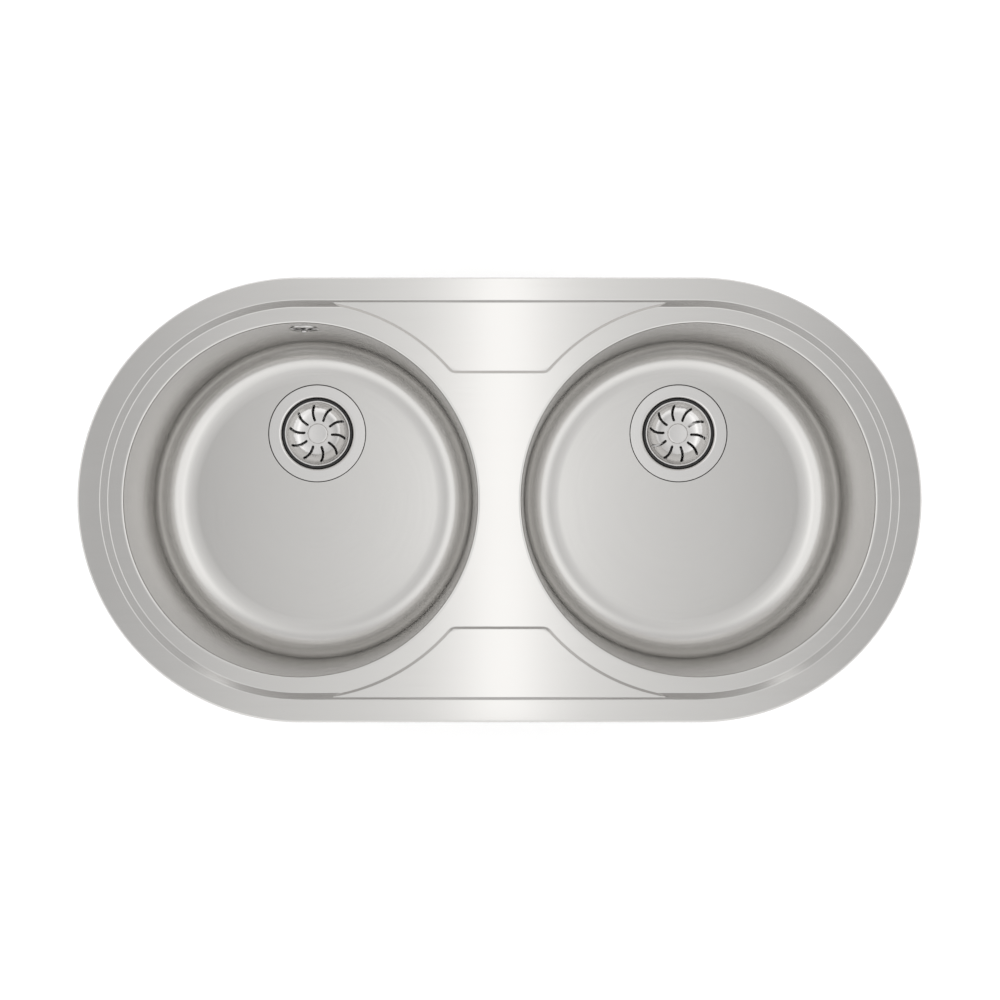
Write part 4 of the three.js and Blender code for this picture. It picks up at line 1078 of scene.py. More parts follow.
add_pair("knob_{}", knob_form, knob_steel, "basket_{}", "polished_steel", "basket_knob_{}")

# ---- basket stems ----
# Grey moulded plastic. The neck goes up through the pan into the knob, and the thick part slides
# in the cup's guide bush, where two grooves take up water and grit.

STEM_BEVEL = 0.0012
STEM_ROUND = 0.0003
STEM_GROOVE = 0.0005
STEM_GROOVES = (0.35, 0.65)  # shares of the way down
GREY_DARK = (0.34, 0.345, 0.35, 1)
GREY_LIGHT = (0.42, 0.425, 0.43, 1)

stem_low, stem_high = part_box("basket_stem_left")
grey_plastic = mottled("grey_plastic", GREY_DARK, GREY_LIGHT, roughness=0.42, change=0.06,
                       scale=600.0, depth=3e-5)


def stem_form():
    shoulder_z = pan_z - PAN_SHEET - GAP
    stem = [(0, stem_high.z)]
    stem += bend(NECK_RADIUS, stem_high.z, STEM_ROUND, 90, 0, 3)
    stem += [(NECK_RADIUS, shoulder_z)]
    stem += bend(STEM_RADIUS, shoulder_z, STEM_ROUND, 90, 0, 3)
    for share in STEM_GROOVES:
        middle = shoulder_z + (stem_low.z - shoulder_z) * share
        stem += arc(STEM_RADIUS + STEM_GROOVE / 2, middle, STEM_GROOVE, 120, 240, 6)
    stem += [(STEM_RADIUS, stem_low.z + STEM_BEVEL), (STEM_RADIUS - STEM_BEVEL, stem_low.z)]
    stem += [(0, stem_low.z)]
    return turned(stem, 64)


add_pair("stem_{}", stem_form, grey_plastic, "basket_{}", "grey_plastic", "basket_stem_{}")

# ---- overflow rosette ----
# A pressed cover of polished stainless steel over the hole in the left bowl's rear wall. It has
# eight windows round its screw, and its turned-down edge follows the curve of the wall.

ROSETTE_RADIUS = 0.0155
ROSETTE_FRONT = 0.00312  # above the wall at the hole's centre
ROSETTE_SHEET = 0.0008
ROSETTE_DOME = 0.0018
ROSETTE_ROUND = 0.0010
ROSETTE_LIFT = 0.0001  # turned-down edge above the wall
ROSETTE_HOLE = 0.0022
ROSETTE_SEAT = 0.0036  # under the screw's head
WINDOWS = 8
WINDOW_START = 0.0052
WINDOW_END = 0.0130
WINDOW_BAR = 17  # degrees taken by the bar between two windows
WINDOW_ROUND = 0.0009
SIDE_SHARE = 0.48  # of a side, that the round of one corner may take up

overflow_place = Matrix.Translation((-bowl_x, 0, 0)) @ hole_place


def eased(points, reaches, steps=5):
    """A closed outline whose corners are rounded, each from its own reach along its two sides."""
    made = []
    count = len(points)
    for i, (p, reach) in enumerate(zip(points, reaches)):
        before = Vector(points[i - 1]) - Vector(p)
        after = Vector(points[(i + 1) % count]) - Vector(p)
        start = before.normalized() * min(reach, before.length * SIDE_SHARE)
        end = after.normalized() * min(reach, after.length * SIDE_SHARE)
        for k in range(steps + 1):
            t = k / steps
            made.append(tuple(Vector(p) + start * (1 - t) ** 2 + end * t * t))
    return made


def window_outline(index, grow):
    middle = 360 / WINDOWS * index
    outline = []
    for radius, ends in ((WINDOW_END + grow, (-1, 1)), (WINDOW_START - grow, (1, -1))):
        half = (360 / WINDOWS - WINDOW_BAR) / 2 + degrees(grow / radius)
        for i in range(9):
            turn = radians(middle + half * (ends[0] + (ends[1] - ends[0]) * i / 8))
            outline.append((radius * cos(turn), radius * sin(turn)))
    return eased(outline, [WINDOW_ROUND] * len(outline), 3)


def rosette_form():
    edge = ROSETTE_RADIUS - ROSETTE_ROUND
    top = lambda x, y: ROSETTE_FRONT - ROSETTE_DOME * (x * x + y * y) / (edge * edge)
    under = lambda x, y: top(x, y) - ROSETTE_SHEET
    radii = (ROSETTE_HOLE, ROSETTE_SEAT, edge)
    lines = [(circle(0, 0, radius, CUP_STEPS), True) for radius in radii]
    windows = [[window_outline(i, grow) for grow in (WORN, 0)] for i in range(WINDOWS)]
    bm = bmesh.new()
    add_punched_sheet(bm, lines, windows, lambda x, y: ROSETTE_HOLE < hypot(x, y) < edge,
                      top, under)
    top_z = ROSETTE_FRONT - ROSETTE_DOME
    outer = arc(edge, top_z - ROSETTE_ROUND, ROSETTE_ROUND, 90, 0, 8)
    inner = arc(edge, top_z - ROSETTE_ROUND, ROSETTE_ROUND - ROSETTE_SHEET, 0, 90, 5)
    on_wall = lambda x: x * x / (2 * overflow_y) + ROSETTE_LIFT
    foot = [[(x, y, on_wall(x)) for x, y in circle(0, 0, radius, CUP_STEPS)]
            for radius in (ROSETTE_RADIUS, ROSETTE_RADIUS - ROSETTE_SHEET)]
    add_rows(bm, turned_rows(outer, CUP_STEPS) + foot + turned_rows(inner, CUP_STEPS))
    hole = [(ROSETTE_HOLE, top(ROSETTE_HOLE, 0)), (ROSETTE_HOLE, under(ROSETTE_HOLE, 0))]
    return add_rows(bm, turned_rows(hole, CUP_STEPS))


rosette_steel = steel("rosette_steel", POLISHED_COLOR, roughness=0.13, change=0.03,
                      fineness=2200.0, turned=0.01)
add_piece("rosette", rosette_form(), rosette_steel, "sink", "polished_steel", "overflow_rosette",
          place=overflow_place, even=True)

# ---- overflow screw ----
# A stainless machine screw with a domed head and a cross recess. It goes through the rosette into
# the elbow's post, and draws the gasket and the elbow against the back of the wall.

DOME_RADIUS = 0.0036
DOME_HEIGHT = 0.0018
DOME_EDGE = 0.0004
ROSETTE_SHANK = 0.0016
SHANK_END = -0.0175
ROSETTE_THREAD = 0.0003
ROSETTE_PITCH = 0.0007
THREAD_STOP = 0.0005  # plain shank under the head
TIP_SHARE = 0.6  # radius of a screw's flat tip
RECESS = 0.0009
RECESS_REACH = 0.0021
RECESS_DEPTH = 0.0012


def cross_recess(bm, top, reach, width, depth, way=1):
    """Sinks a cross for a driver into a head whose face looks up, or down if way is -1."""
    for turn in (0, pi / 2):
        ends = sorted((top - way * depth, top + way * depth))
        bar = block((-reach, -width / 2, ends[0]), (reach, width / 2, ends[1]), width / 8)
        bm = cut(bm, bar, Matrix.Rotation(turn, 4, "Z"))
    return bm


def overflow_screw_form():
    seat = ROSETTE_FRONT + GAP
    top = seat + DOME_HEIGHT
    turns = [pi / 2 * i / 8 for i in range(9)]
    rise = DOME_HEIGHT - DOME_EDGE
    head = [(DOME_RADIUS * sin(a), seat + DOME_EDGE + rise * cos(a)) for a in turns]
    head += [(DOME_RADIUS, seat), (ROSETTE_SHANK, seat)]
    rows = turned_rows(head, 48)
    rows += threaded_rows(ROSETTE_SHANK, ROSETTE_THREAD, ROSETTE_PITCH, SHANK_END,
                          seat - THREAD_STOP, 48)[::-1]
    rows += turned_rows([(ROSETTE_SHANK * TIP_SHARE, SHANK_END), (0, SHANK_END)], 48)
    return cross_recess(add_rows(bmesh.new(), rows), top, RECESS_REACH, RECESS, RECESS_DEPTH)


add_piece("rosette_screw", overflow_screw_form(), screw_steel, "sink", "polished_steel",
          "overflow_screw", place=overflow_place)

# ---- overflow gasket and elbow ----
# A black rubber ring seals the hole from behind. The white moulded elbow is a round chamber with a
# post for the rosette's screw, and its spigot points down to the hose.

OVERFLOW_GASKET = 0.0025
ELBOW_LAP = 0.0015
ELBOW_FLANGE = 0.0025
ELBOW_DEPTH = 0.018
ELBOW_WALL = 0.002
ELBOW_ROUND = 0.0025
SPIGOT_SET = 0.010
RING_ROUND = 0.0005
POST_ROUND = 0.0003

gasket_low = -BOWL_WALL - GAP - OVERFLOW_GASKET
elbow_face = gasket_low - GAP
elbow_radius = OVERFLOW_HOLE + ELBOW_LAP
elbow_flange = elbow_radius + ELBOW_FLANGE
elbow_back = elbow_face - ELBOW_DEPTH
spigot_axis = elbow_face - SPIGOT_SET
hose_top = elbow_flange + GAP
gasket_section = rounded_section(OVERFLOW_HOLE + GASKET_INSET, elbow_flange, gasket_low,
                                 gasket_low + OVERFLOW_GASKET, RING_ROUND)
add_piece("overflow_ring", ring_form(gasket_section), rubber, "sink", "black_rubber",
          "overflow_gasket", place=overflow_place)


def elbow_form():
    hollow = elbow_radius - ELBOW_WALL
    shell = [(0, elbow_back)]
    shell += bend(elbow_radius, elbow_back, ELBOW_ROUND, -90, 0, 8)
    under = elbow_face - ELBOW_FLANGE
    shell += bend(elbow_radius, under, BODY_ROUND, 180, 90)
    shell += bend(elbow_flange, under, BODY_ROUND, -90, 0)
    shell += [(elbow_flange, elbow_face), (hollow, elbow_face)]
    inner_round = ELBOW_ROUND - ELBOW_WALL / 2
    shell += bend(hollow, elbow_back + ELBOW_WALL, inner_round, 0, -90, 5)
    shell += [(0, elbow_back + ELBOW_WALL)]
    down = Matrix.Translation((0, 0, spigot_axis)) @ Matrix.Rotation(pi / 2, 4, "X")
    drill = (hollow / 2, elbow_radius + DRILL_LAP)
    spigot = (elbow_radius - 2 * ELBOW_WALL, hose_top + PORT_LENGTH)
    bm = with_port(turned(shell, 96), drill, spigot, down)
    post_bore = ROSETTE_SHANK + GAP
    post = rounded_section(post_bore, post_bore + ELBOW_WALL, elbow_back + ELBOW_WALL / 2,
                           -BOWL_WALL, POST_ROUND)
    return add_form(bm, ring_form(post, 48))


add_piece("elbow", elbow_form(), white_plastic, "sink", "white_plastic", "overflow_elbow",
          place=overflow_place, crease=35)

# ---- overflow hose ----
# A ribbed hose of soft grey plastic with a plain cuff at each end. It is pushed on the elbow's
# spigot, runs down the bowl's wall, and bends under the bowl to the port on the waste body.

HOSE_STOP = 0.0008
HOSE_BORE = 0.00855
HOSE_WALL = 0.0013
HOSE_RIB = 0.0014
HOSE_RIBS = 28
HOSE_BEND = 0.036
HOSE_SIDES = 40
HOSE_LIP = 0.0003
RIB_STEPS = 10
RIB_SHAPE = 0.7  # below 1 makes the ribs broader than the grooves
ROUNDNESS = 0.5523  # share of a bend that makes a cubic curve nearly round

hose_root = HOSE_BORE + HOSE_WALL


def hose_route():
    """Points (y, z) every millimetre or less along the hose's middle line."""
    top = overflow_place @ Vector((0, -hose_top, spigot_axis))
    start = Vector((top.y, top.z))
    end = Vector((drain_y + body_outer + HOSE_STOP, port_z))
    down = Vector((-sin(WALL_DRAFT), -cos(WALL_DRAFT)))
    corner = start + down * ((start.y - port_z) / cos(WALL_DRAFT))
    bend_start = corner - down * HOSE_BEND
    bend_end = corner + Vector((-HOSE_BEND, 0))
    pulls = [bend_start.lerp(corner, ROUNDNESS), bend_end.lerp(corner, ROUNDNESS)]
    route = [start.lerp(bend_start, i / 80) for i in range(80)]
    for i in range(61):
        t = i / 60
        u = 1 - t
        route.append(bend_start * u ** 3 + pulls[0] * 3 * u * u * t + pulls[1] * 3 * u * t * t
                     + bend_end * t ** 3)
    route += [bend_end.lerp(end, i / 20) for i in range(1, 21)]
    return route


def hose_form():
    route = hose_route()
    ways = [0.0]
    for a, b in zip(route, route[1:]):
        ways.append(ways[-1] + (b - a).length)
    length = ways[-1]

    def row(at, radius):
        k = 0
        while k < len(ways) - 2 and ways[k + 1] < at:
            k += 1
        t = (at - ways[k]) / (ways[k + 1] - ways[k])
        here = route[k].lerp(route[k + 1], t)
        ahead = (route[k + 1] - route[k]).normalized()
        turns = [2 * pi * i / HOSE_SIDES for i in range(HOSE_SIDES)]
        return [(radius * cos(a), here.x - ahead.y * radius * sin(a),
                 here.y + ahead.x * radius * sin(a)) for a in turns]

    pitch = (length - 2 * PORT_LENGTH) / HOSE_RIBS
    end_root = hose_root - HOSE_LIP
    outside = [(0, end_root), (HOSE_LIP, hose_root), (PORT_LENGTH, hose_root)]
    for i in range(HOSE_RIBS * RIB_STEPS):
        wave = 0.5 - 0.5 * cos(2 * pi * i / RIB_STEPS)
        rib = HOSE_RIB * wave ** RIB_SHAPE
        outside.append((PORT_LENGTH + pitch * i / RIB_STEPS, hose_root + rib))
    outside += [(length - PORT_LENGTH, hose_root), (length - HOSE_LIP, hose_root)]
    outside += [(length, end_root)]
    inside = [(length * (1 - i / 40), HOSE_BORE) for i in range(41)]
    return add_rows(bmesh.new(), [row(*ring) for ring in outside + inside], closed=True)


add_piece("ribbed_hose", hose_form(), grey_plastic, "sink", "grey_plastic", "overflow_hose",
          place=Matrix.Translation((-bowl_x, 0, 0)), crease=60)

# ---- hose clamps ----
# Worm-drive band clamps of zinc-plated steel, one on each cuff. The band's loose end lies over it,
# and a slotted hexagon screw sits under the domed housing.

CLAMP_WIDTH = 0.009
BAND_INNER = 0.01035
BAND_SHEET = 0.00055
BAND_ROUND = 0.0002
BAND_PLAY = 0.00002  # between the band's two layers
TAIL_START = 60  # degrees at which the outer layer starts
TAIL_TURN = 235  # degrees that it goes round
TAIL_INSET = 0.0004
TAIL_STEPS = 72
HOUSING_LENGTH = 0.0085
HOUSING_WIDTH = 0.007
HOUSING_HEIGHT = 0.006
HOUSING_DOME = 0.0026
HOUSING_CREST = 0.6  # half the width of the dome's top, in domes
HOUSING_ROUNDS = (0.0004, 0.0004, 0.0016, 0.0018, 0.0018, 0.0016)
CLAMP_REACH = 0.006
CLAMP_HEAD = 0.0029
CLAMP_AXIS = 0.0006  # screw's axis below the dome
CLAMP_NECK = 0.0016
HEAD_CORNER = 0.0003
HEAD_GAP = 0.0002  # between housing and head
DRIVE_DEPTH = 0.001
DRIVE_WIDTH = 0.0005  # half the width of the slot in the head
DRIVE_REACH = 0.004
ZINC_COLOR = (0.58, 0.60, 0.63)

zinc = steel("zinc", ZINC_COLOR, roughness=0.33, change=0.08, fineness=260.0, length=1.0,
             depth=6e-5)
band_outer = BAND_INNER + 2 * BAND_SHEET


def add_bar(bm, rows):
    """Joins closed rows of points into a bar with a face at each end."""
    for end in (rows[0], rows[-1][::-1]):
        bm.faces.new([bm.verts.new(p) for p in end])
    return add_rows(bm, rows)


def bar_of(outline, start, end):
    """A closed bar from one outline of (y, z) points, along X."""
    return add_bar(bmesh.new(), [[(x, y, z) for y, z in outline] for x in (start, end)])


def clamp_form():
    half = CLAMP_WIDTH / 2
    layer = BAND_INNER + BAND_SHEET
    bm = ring_form(rounded_section(BAND_INNER, layer, -half, half, BAND_ROUND), 96)
    tail = rounded_section(layer + BAND_PLAY, band_outer, TAIL_INSET - half, half - TAIL_INSET,
                           BAND_ROUND)
    turns = [radians(TAIL_START + TAIL_TURN * i / TAIL_STEPS) for i in range(TAIL_STEPS + 1)]
    add_bar(bm, [[(r * cos(a), r * sin(a), z) for r, z in tail] for a in turns])
    side = HOUSING_WIDTH / 2
    top = band_outer + HOUSING_HEIGHT
    crest = HOUSING_DOME * HOUSING_CREST
    cover = [(layer, -side), (layer, side), (top - HOUSING_DOME, side), (top, crest)]
    cover += [(top, -crest), (top - HOUSING_DOME, -side)]
    housing_end = HOUSING_LENGTH - CLAMP_REACH
    add_form(bm, bar_of(eased(cover, HOUSING_ROUNDS), -CLAMP_REACH, housing_end))
    axis_y = top - HOUSING_DOME - CLAMP_AXIS
    turns = [pi / 3 * i for i in range(6)]
    hexagon = [(axis_y + CLAMP_HEAD * cos(a), CLAMP_HEAD * sin(a)) for a in turns]
    head = bar_of(eased(hexagon, [HEAD_CORNER] * 6, 2), housing_end + HEAD_GAP, CLAMP_REACH)
    slot = block((CLAMP_REACH - DRIVE_DEPTH, axis_y - DRIVE_WIDTH, -DRIVE_REACH),
                 (CLAMP_REACH + DRIVE_DEPTH, axis_y + DRIVE_WIDTH, DRIVE_REACH), TOOL_ROUND)
    add_form(bm, cut(head, slot))
    along = Matrix.Translation((DRIVE_DEPTH - CLAMP_REACH, axis_y, 0))
    along @= Matrix.Rotation(pi / 2, 4, "Y")
    return add_form(bm, rod(CLAMP_NECK, 0, HOUSING_LENGTH, 32), along)


clamp_turn = Matrix(((0, 1, 0, 0), (0, 0, 1, 0), (1, 0, 0, 0), (0, 0, 0, 1)))
upper_middle = Matrix.Translation((0, -hose_top - PORT_LENGTH / 2, spigot_axis))
lower_middle = (-bowl_x, drain_y + body_outer + HOSE_STOP + PORT_LENGTH / 2, port_z)
clamp_places = {
    "upper": overflow_place @ upper_middle @ clamp_turn,
    "lower": Matrix.Translation(lower_middle) @ clamp_turn,
}
for where, place in clamp_places.items():
    add_piece(f"band_clamp_{where}", clamp_form(), zinc, "sink", "zinc_steel",
              f"hose_clamp_{where}", place=place, crease=35)

# ---- fixing clips ----
# Eight clips hold the sink in its cut-out. Each is a bent bracket spot-welded under the deck, a
# turning claw of zinc-plated steel that bites under the worktop, and a screw that pulls it up.

CLIP_SHEET = 0.0015
CLIP_WIDTH = 0.022
CLIP_FOOT = 0.0094
CLIP_MARGIN = 0.001  # foot behind the mouth's rounding
CLIP_SET = 0.0068  # screw beyond the foot of the pressed slope
CLIP_LIP = 0.007
CLIP_DROP = 0.014
CLIP_SPAN = 0.095
CLIP_ANGLE = 40  # degrees from the long axis
CLIP_BEND = 0.0012
CLIP_SCREW = 0.0025
SCREW_HEAD = 0.0046
SCREW_HEAD_ROUND = 0.0008
CLIP_THREAD = 0.0004
CLIP_PITCH = 0.0008
TIP_LENGTH = 0.001
CLIP_RECESS = 0.0011
CLIP_RECESS_DEPTH = 0.0022
CLAW_SHEET = 0.002
CLAW_WIDTH = 0.016
CLAW_REACH = 0.0195
CLAW_TAIL = 0.009
TOOTH_NOTCH = 0.0014
NOTCHES = (-0.0045, 0, 0.0045)  # places across the claw's tooth
PLATE_DRILL = 0.004  # half the length of the cutter for a plate's hole or notch
PLATE_WORN = 0.00025
WORN_ANGLE = 50  # degrees; sharper edges than this are worn
WELD_SPOT = 0.0022
WELD_CORE = 0.4  # evenly burnt share of a spot
WELD_HEAT = 0.75  # share of the burnt colour in a spot
WELD_BLUE = (0.30, 0.27, 0.26, 1)

clip_radius = slope_foot + CLIP_SET
foot_start = mouth_flat + CLIP_MARGIN - clip_radius
foot_end = foot_start + CLIP_FOOT
lip_z = band_z - SHEET - CLIP_DROP
claw_low, claw_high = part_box("clip_claw_front_left")
claw_z = claw_low.z + CLAW_SHEET
tooth_z = claw_high.z
clip_screw_low, clip_screw_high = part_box("clip_screw_front_left")


def strip_form(corners, width):
    """A bent strip from the corners (x, z, reach) of its side, with its width along Y."""
    side = eased([(x, z) for x, z, _ in corners], [reach for *_, reach in corners])
    return add_bar(bmesh.new(), [[(x, y, z) for x, z in side] for y in (-width / 2, width / 2)])


def bracket_form(top):
    inner = CLIP_BEND
    outer = CLIP_BEND + CLIP_SHEET
    end = PLATE_WORN
    bm = strip_form([
        (foot_start, top - CLIP_SHEET, end), (foot_end - CLIP_SHEET, top - CLIP_SHEET, inner),
        (foot_end - CLIP_SHEET, lip_z, outer), (CLIP_LIP, lip_z, end),
        (CLIP_LIP, lip_z + CLIP_SHEET, end), (foot_end, lip_z + CLIP_SHEET, inner),
        (foot_end, top, outer), (foot_start, top, end),
    ], CLIP_WIDTH)
    return cut(bm, rod(CLIP_SCREW + GAP, lip_z - PLATE_DRILL, lip_z + PLATE_DRILL, 32))


def claw_form():
    end = PLATE_WORN
    bm = strip_form([
        (-CLAW_TAIL, claw_z - CLAW_SHEET, end), (CLAW_REACH, claw_z - CLAW_SHEET, CLAW_SHEET),
        (CLAW_REACH, tooth_z, end), (CLAW_REACH - CLAW_SHEET, tooth_z, end),
        (CLAW_REACH - CLAW_SHEET, claw_z, CLIP_BEND / 2), (-CLAW_TAIL, claw_z, end),
    ], CLAW_WIDTH)
    bm = cut(bm, rod(CLIP_SCREW + GAP, claw_z - PLATE_DRILL, claw_z + PLATE_DRILL, 32))
    corner = Vector((PLATE_DRILL, TOOTH_NOTCH, TOOTH_NOTCH))
    turn = Matrix.Rotation(pi / 4, 4, "X")
    for y in NOTCHES:
        place = Matrix.Translation((CLAW_REACH - CLAW_SHEET / 2, y, tooth_z)) @ turn
        bm = cut(bm, block(-corner, corner, TOOL_ROUND), place)
    return bm


def clip_screw_form():
    head_z = claw_z - CLAW_SHEET - GAP
    low = clip_screw_low.z
    head = [(0, low)]
    head += bend(SCREW_HEAD, low, SCREW_HEAD_ROUND, -90, 0, 5)
    head += [(SCREW_HEAD, head_z), (CLIP_SCREW, head_z)]
    tip = clip_screw_high.z - TIP_LENGTH
    rows = turned_rows(head, 48)
    rows += threaded_rows(CLIP_SCREW, CLIP_THREAD, CLIP_PITCH, head_z + CLIP_THREAD, tip, 48)
    rows += turned_rows([(CLIP_SCREW * TIP_SHARE, clip_screw_high.z), (0, clip_screw_high.z)], 48)
    return cross_recess(add_rows(bmesh.new(), rows), low, SCREW_HEAD * TIP_SHARE, CLIP_RECESS,
                        CLIP_RECESS_DEPTH, way=-1)



def mark_welds(material, foot_x):
    """Darkens the bracket's steel where two spot welds have heated it."""
    tree = material.node_tree
    shader = tree.nodes["Principled BSDF"].inputs
    tint = shader["Base Color"].links[0].from_socket
    parts = add_node(tree, "SeparateXYZ", {0: add_node(tree, "TexCoord", {})["Object"]})
    across = maths(tree, "ABSOLUTE", parts["Y"])
    flat = add_node(tree, "CombineXYZ", {0: parts["X"], 1: across, 2: 0.0})[0]
    off = add_node(tree, "VectorMath", {0: flat, 1: (foot_x, CLIP_WIDTH / 4, 0)},
                   operation="DISTANCE")["Value"]
    heat = spread(tree, off, WELD_HEAT, 0.0, WELD_SPOT * WELD_CORE, WELD_SPOT)
    heat.node.interpolation_type = "SMOOTHSTEP"
    connect(tree, shader, {"Base Color": mix_colors(tree, heat, tint, WELD_BLUE)})


def wear_edges(made):
    modifier = made.modifiers.new("worn edges", "BEVEL")
    modifier.width = PLATE_WORN
    modifier.segments = 2
    modifier.limit_method = "ANGLE"
    modifier.angle_limit = radians(WORN_ANGLE)


bracket_steel = steel("bracket_steel", SATIN_COLOR, roughness=0.24, change=0.05)
mark_welds(bracket_steel, foot_start + CLIP_FOOT / 3)
for y, row in ((-1, "front"), (1, "rear")):
    for x, end in ((-1, "left"), (1, "right")):
        turn = radians(CLIP_ANGLE)
        out = clip_radius * cos(turn)
        spots = {
            f"{row}_{end}": (x * CLIP_SPAN, y * clip_radius, y * pi / 2, island_z),
            f"{end}_{row}": (x * (bowl_x + out), y * clip_radius * sin(turn),
                             atan2(y * sin(turn), x * cos(turn)), band_z),
        }
        for where, (at_x, at_y, facing, face_z) in spots.items():
            place = Matrix.Translation((at_x, at_y, 0)) @ Matrix.Rotation(facing, 4, "Z")
            wear_edges(add_piece(f"bracket_{where}", bracket_form(face_z - SHEET - GAP),
                                 bracket_steel, "sink", "satin_steel", f"clip_bracket_{where}",
                                 place=place, crease=30))
            wear_edges(add_piece(f"claw_plate_{where}", claw_form(), zinc, f"claw_{where}",
                                 "zinc_steel", f"clip_claw_{where}", place=place, crease=30))
            add_piece(f"pull_screw_{where}", clip_screw_form(), zinc, "sink", "zinc_steel",
                      f"clip_screw_{where}", place=place)

# ---- studio ----
# A pale floor under the outlets, whose glow is left out beneath the sink so that a soft shadow is
# painted there, and a pale sky that is brightest low down and at the back. A wide softbox above the
# sink, unseen by the camera, is brightest along its middle. The camera looks straight down on the
# sink.

FLOOR_CLEARANCE = 0.001
FLOOR_HALF = 4.0
FLOOR_GREY = 0.8
FLOOR_LIFT = 0.3  # glow that whitens the floor where it is seen
# Nearer the sink than this, the floor's glow is left out, which paints a soft shadow under the
# sink.
PAINTED_SHADOW_CORE = 0.10  # from the line between the drains' bowls, where that glow starts
PAINTED_SHADOW_EDGE = 0.24
CAMERA_HEIGHT = 1.622
CAMERA_X = -0.017
FOCAL_PIXELS = 1639.0
FRAME_PIXELS = 1000.0
CENTRE_PIXELS = (499.5, 499.9)
SENSOR = 36.0
SOFTBOX_HEIGHT = 0.30
SOFTBOX_MIDDLE = 0.008
SOFTBOX_FRONT = -0.27
SOFTBOX_BACK = 0.75
SOFTBOX_STEPS = [  # metres to the side of its middle, and brightness there
    (0.0, 1.60), (0.022, 1.55), (0.045, 1.40), (0.07, 1.27), (0.10, 1.14), (0.16, 1.02),
    (0.24, 0.93), (0.31, 0.87), (0.40, 0.75), (0.48, 0.67), (0.60, 0.85), (0.90, 0.95),
]
SLANT_RANGE = (0.84, 0.64)  # upright share of a ray, from all straight to all slanted
SLANTED_LEVEL = 1.36  # brightness as slanted rays see it
SLANTED_REAR = 0.85  # the same for rays that come from the back
REAR_RANGE = (-0.75, -0.5)
REAR_BOOST = 1.6
BOOST_RISE = (0.88, 0.94)  # share of a ray that points to the back
BOOST_FALL = (0.955, 0.98)
SKY_STEPS = [  # degrees from straight overhead, and brightness there
    (0, 0.80), (45, 1.25), (60, 1.35), (67, 1.45), (72, 1.6), (75, 1.35), (78, 0.75), (90, 0.65),
]
WHITE = (1, 1, 1, 1)


def stage_sheet(name, left, right, front, back, place):
    """A flat sheet for the stage, with an empty material, and the material's node tree."""
    mesh = bpy.data.meshes.new(name)
    corners = [(left, front, 0), (right, front, 0), (right, back, 0), (left, back, 0)]
    mesh.from_pydata(corners, [], [(0, 1, 2, 3)])
    sheet = bpy.data.objects.new(name, mesh)
    sheet.location = place
    scene.collection.objects.link(sheet)
    material = bpy.data.materials.new(f"{name}_sheet")
    material.use_nodes = True
    tree = material.node_tree
    tree.nodes.remove(tree.nodes["Principled BSDF"])
    mesh.materials.append(material)
    return sheet, tree


def stepped(tree, distance, steps):
    """Brightness at a distance, from a list of distances and the brightness at each."""
    top = max(level for _, level in steps)
    ramp = add_node(tree, "ValToRGB", {"Fac": maths(tree, "DIVIDE", distance, steps[-1][0])})[0]
    elements = ramp.node.color_ramp.elements
    for reached, _ in steps[1:-1]:
        elements.new(reached / steps[-1][0])
    for element, (_, level) in zip(elements, steps):
        element.color = (level / top, level / top, level / top, 1)
    return maths(tree, "MULTIPLY", ramp, top)


def light_up(tree, strength, *others):
    """Gives a material a glow of a strength, added to its other shaders."""
    shown = add_node(tree, "Emission", {"Color": WHITE, "Strength": strength})[0]
    for other in others:
        shown = add_node(tree, "AddShader", {0: other, 1: shown})[0]
    connect(tree, tree.nodes["Material Output"].inputs, {"Surface": shown})


floor, tree = stage_sheet("floor", -FLOOR_HALF, FLOOR_HALF, -FLOOR_HALF, FLOOR_HALF,
                          (0, 0, cad_low.z - FLOOR_CLEARANCE))
matt = add_node(tree, "BsdfDiffuse", {"Color": (FLOOR_GREY, FLOOR_GREY, FLOOR_GREY, 1)})[0]
path = add_node(tree, "LightPath", {})
seen = maths(tree, "MAXIMUM", path["Is Camera Ray"], path["Is Glossy Ray"])
seen = maths(tree, "MAXIMUM", seen, path["Is Transmission Ray"])
spot = add_node(tree, "SeparateXYZ", {0: add_node(tree, "TexCoord", {})["Object"]})
beyond = maths(tree, "SUBTRACT", maths(tree, "ABSOLUTE", spot["X"]), bowl_x)
away = add_node(tree, "CombineXYZ", {0: maths(tree, "MAXIMUM", beyond, 0.0), 1: spot["Y"], 2: 0.0})
away = add_node(tree, "VectorMath", {0: away[0]}, operation="LENGTH")["Value"]
# The glow fades to nothing under the sink: a painted shadow, which also keeps the floor dark where
# it is seen through the outlets.
glow_beyond_painted_shadow = spread(tree, away, 0, FLOOR_LIFT, PAINTED_SHADOW_CORE, PAINTED_SHADOW_EDGE)
light_up(tree, maths(tree, "MULTIPLY", seen, glow_beyond_painted_shadow), matt)

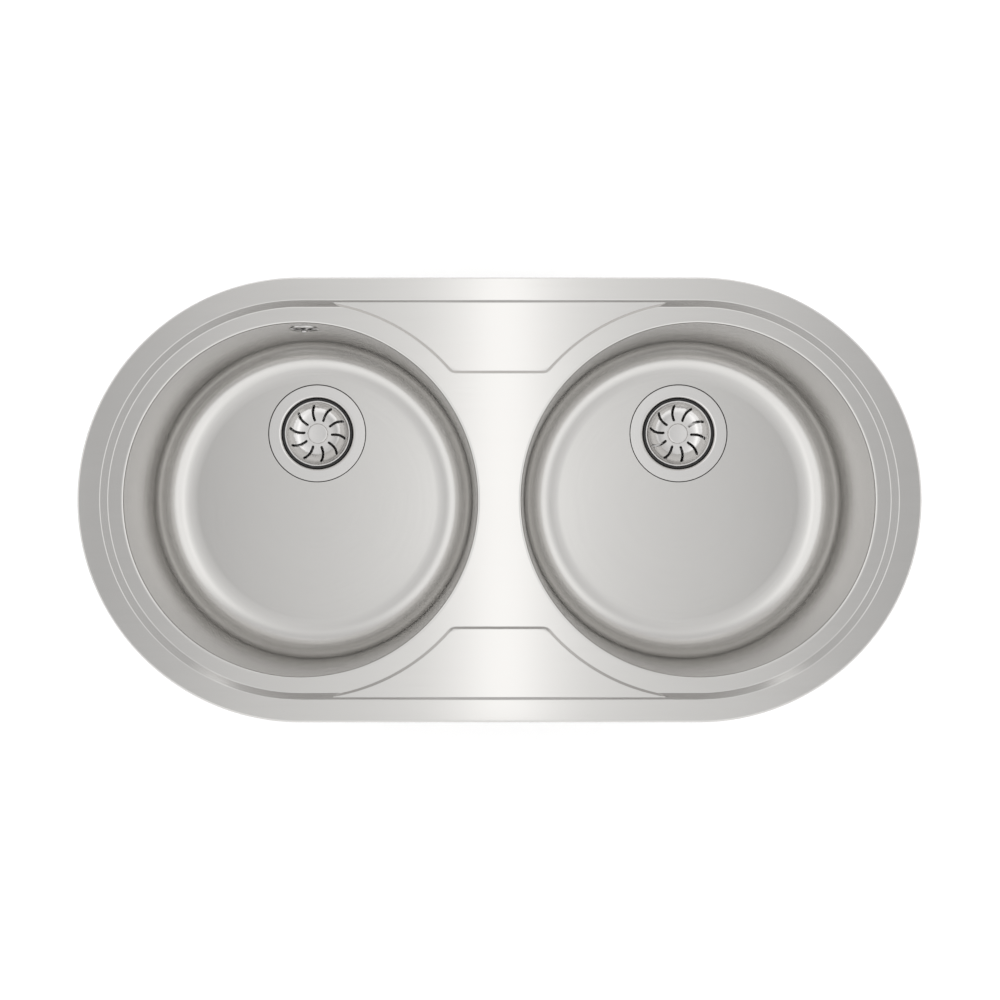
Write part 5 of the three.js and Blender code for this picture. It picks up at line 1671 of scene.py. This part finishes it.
softbox_half = SOFTBOX_STEPS[-1][0]
softbox, tree = stage_sheet("softbox", softbox_half, -softbox_half, SOFTBOX_FRONT, SOFTBOX_BACK,
                            (SOFTBOX_MIDDLE, 0, SOFTBOX_HEIGHT))
softbox.visible_camera = False
spot = add_node(tree, "SeparateXYZ", {0: add_node(tree, "TexCoord", {})["Object"]})
level = stepped(tree, maths(tree, "ABSOLUTE", spot["X"]), SOFTBOX_STEPS)
incoming = add_node(tree, "SeparateXYZ", {0: add_node(tree, "NewGeometry", {})["Incoming"]})
slant = spread(tree, maths(tree, "ABSOLUTE", incoming["Z"]), 0, 1, *SLANT_RANGE)
slanted = spread(tree, incoming["Y"], SLANTED_REAR, SLANTED_LEVEL, *REAR_RANGE)
light_up(tree, blend(tree, slant, level, slanted))

world = bpy.data.worlds.new("studio")
scene.world = world
world.use_nodes = True
tree = world.node_tree
way = add_node(tree, "SeparateXYZ", {0: add_node(tree, "TexCoord", {})["Generated"]})
tilt = maths(tree, "DEGREES", maths(tree, "ARCCOSINE", way["Z"]))
rise = spread(tree, way["Y"], 1, REAR_BOOST, *BOOST_RISE)
fall = spread(tree, way["Y"], 1, 1 / REAR_BOOST, *BOOST_FALL)
level = maths(tree, "MULTIPLY", stepped(tree, tilt, SKY_STEPS), maths(tree, "MULTIPLY", rise, fall))
strength = blend(tree, add_node(tree, "LightPath", {})["Is Camera Ray"], level, 1.0)
connect(tree, tree.nodes["Background"].inputs, {"Color": WHITE, "Strength": strength})

camera_data = bpy.data.cameras.new("camera")
camera_data.sensor_width = SENSOR
camera_data.lens = FOCAL_PIXELS / FRAME_PIXELS * SENSOR
rim_scale = FOCAL_PIXELS / (CAMERA_HEIGHT - rim_z)
camera_data.shift_x = (FRAME_PIXELS / 2 - CENTRE_PIXELS[0] - CAMERA_X * rim_scale) / FRAME_PIXELS
camera_data.shift_y = (CENTRE_PIXELS[1] - FRAME_PIXELS / 2) / FRAME_PIXELS
camera = bpy.data.objects.new("camera", camera_data)
camera.location = (CAMERA_X, 0, CAMERA_HEIGHT)
scene.collection.objects.link(camera)
scene.camera = camera

scene.view_settings.view_transform = "Standard"
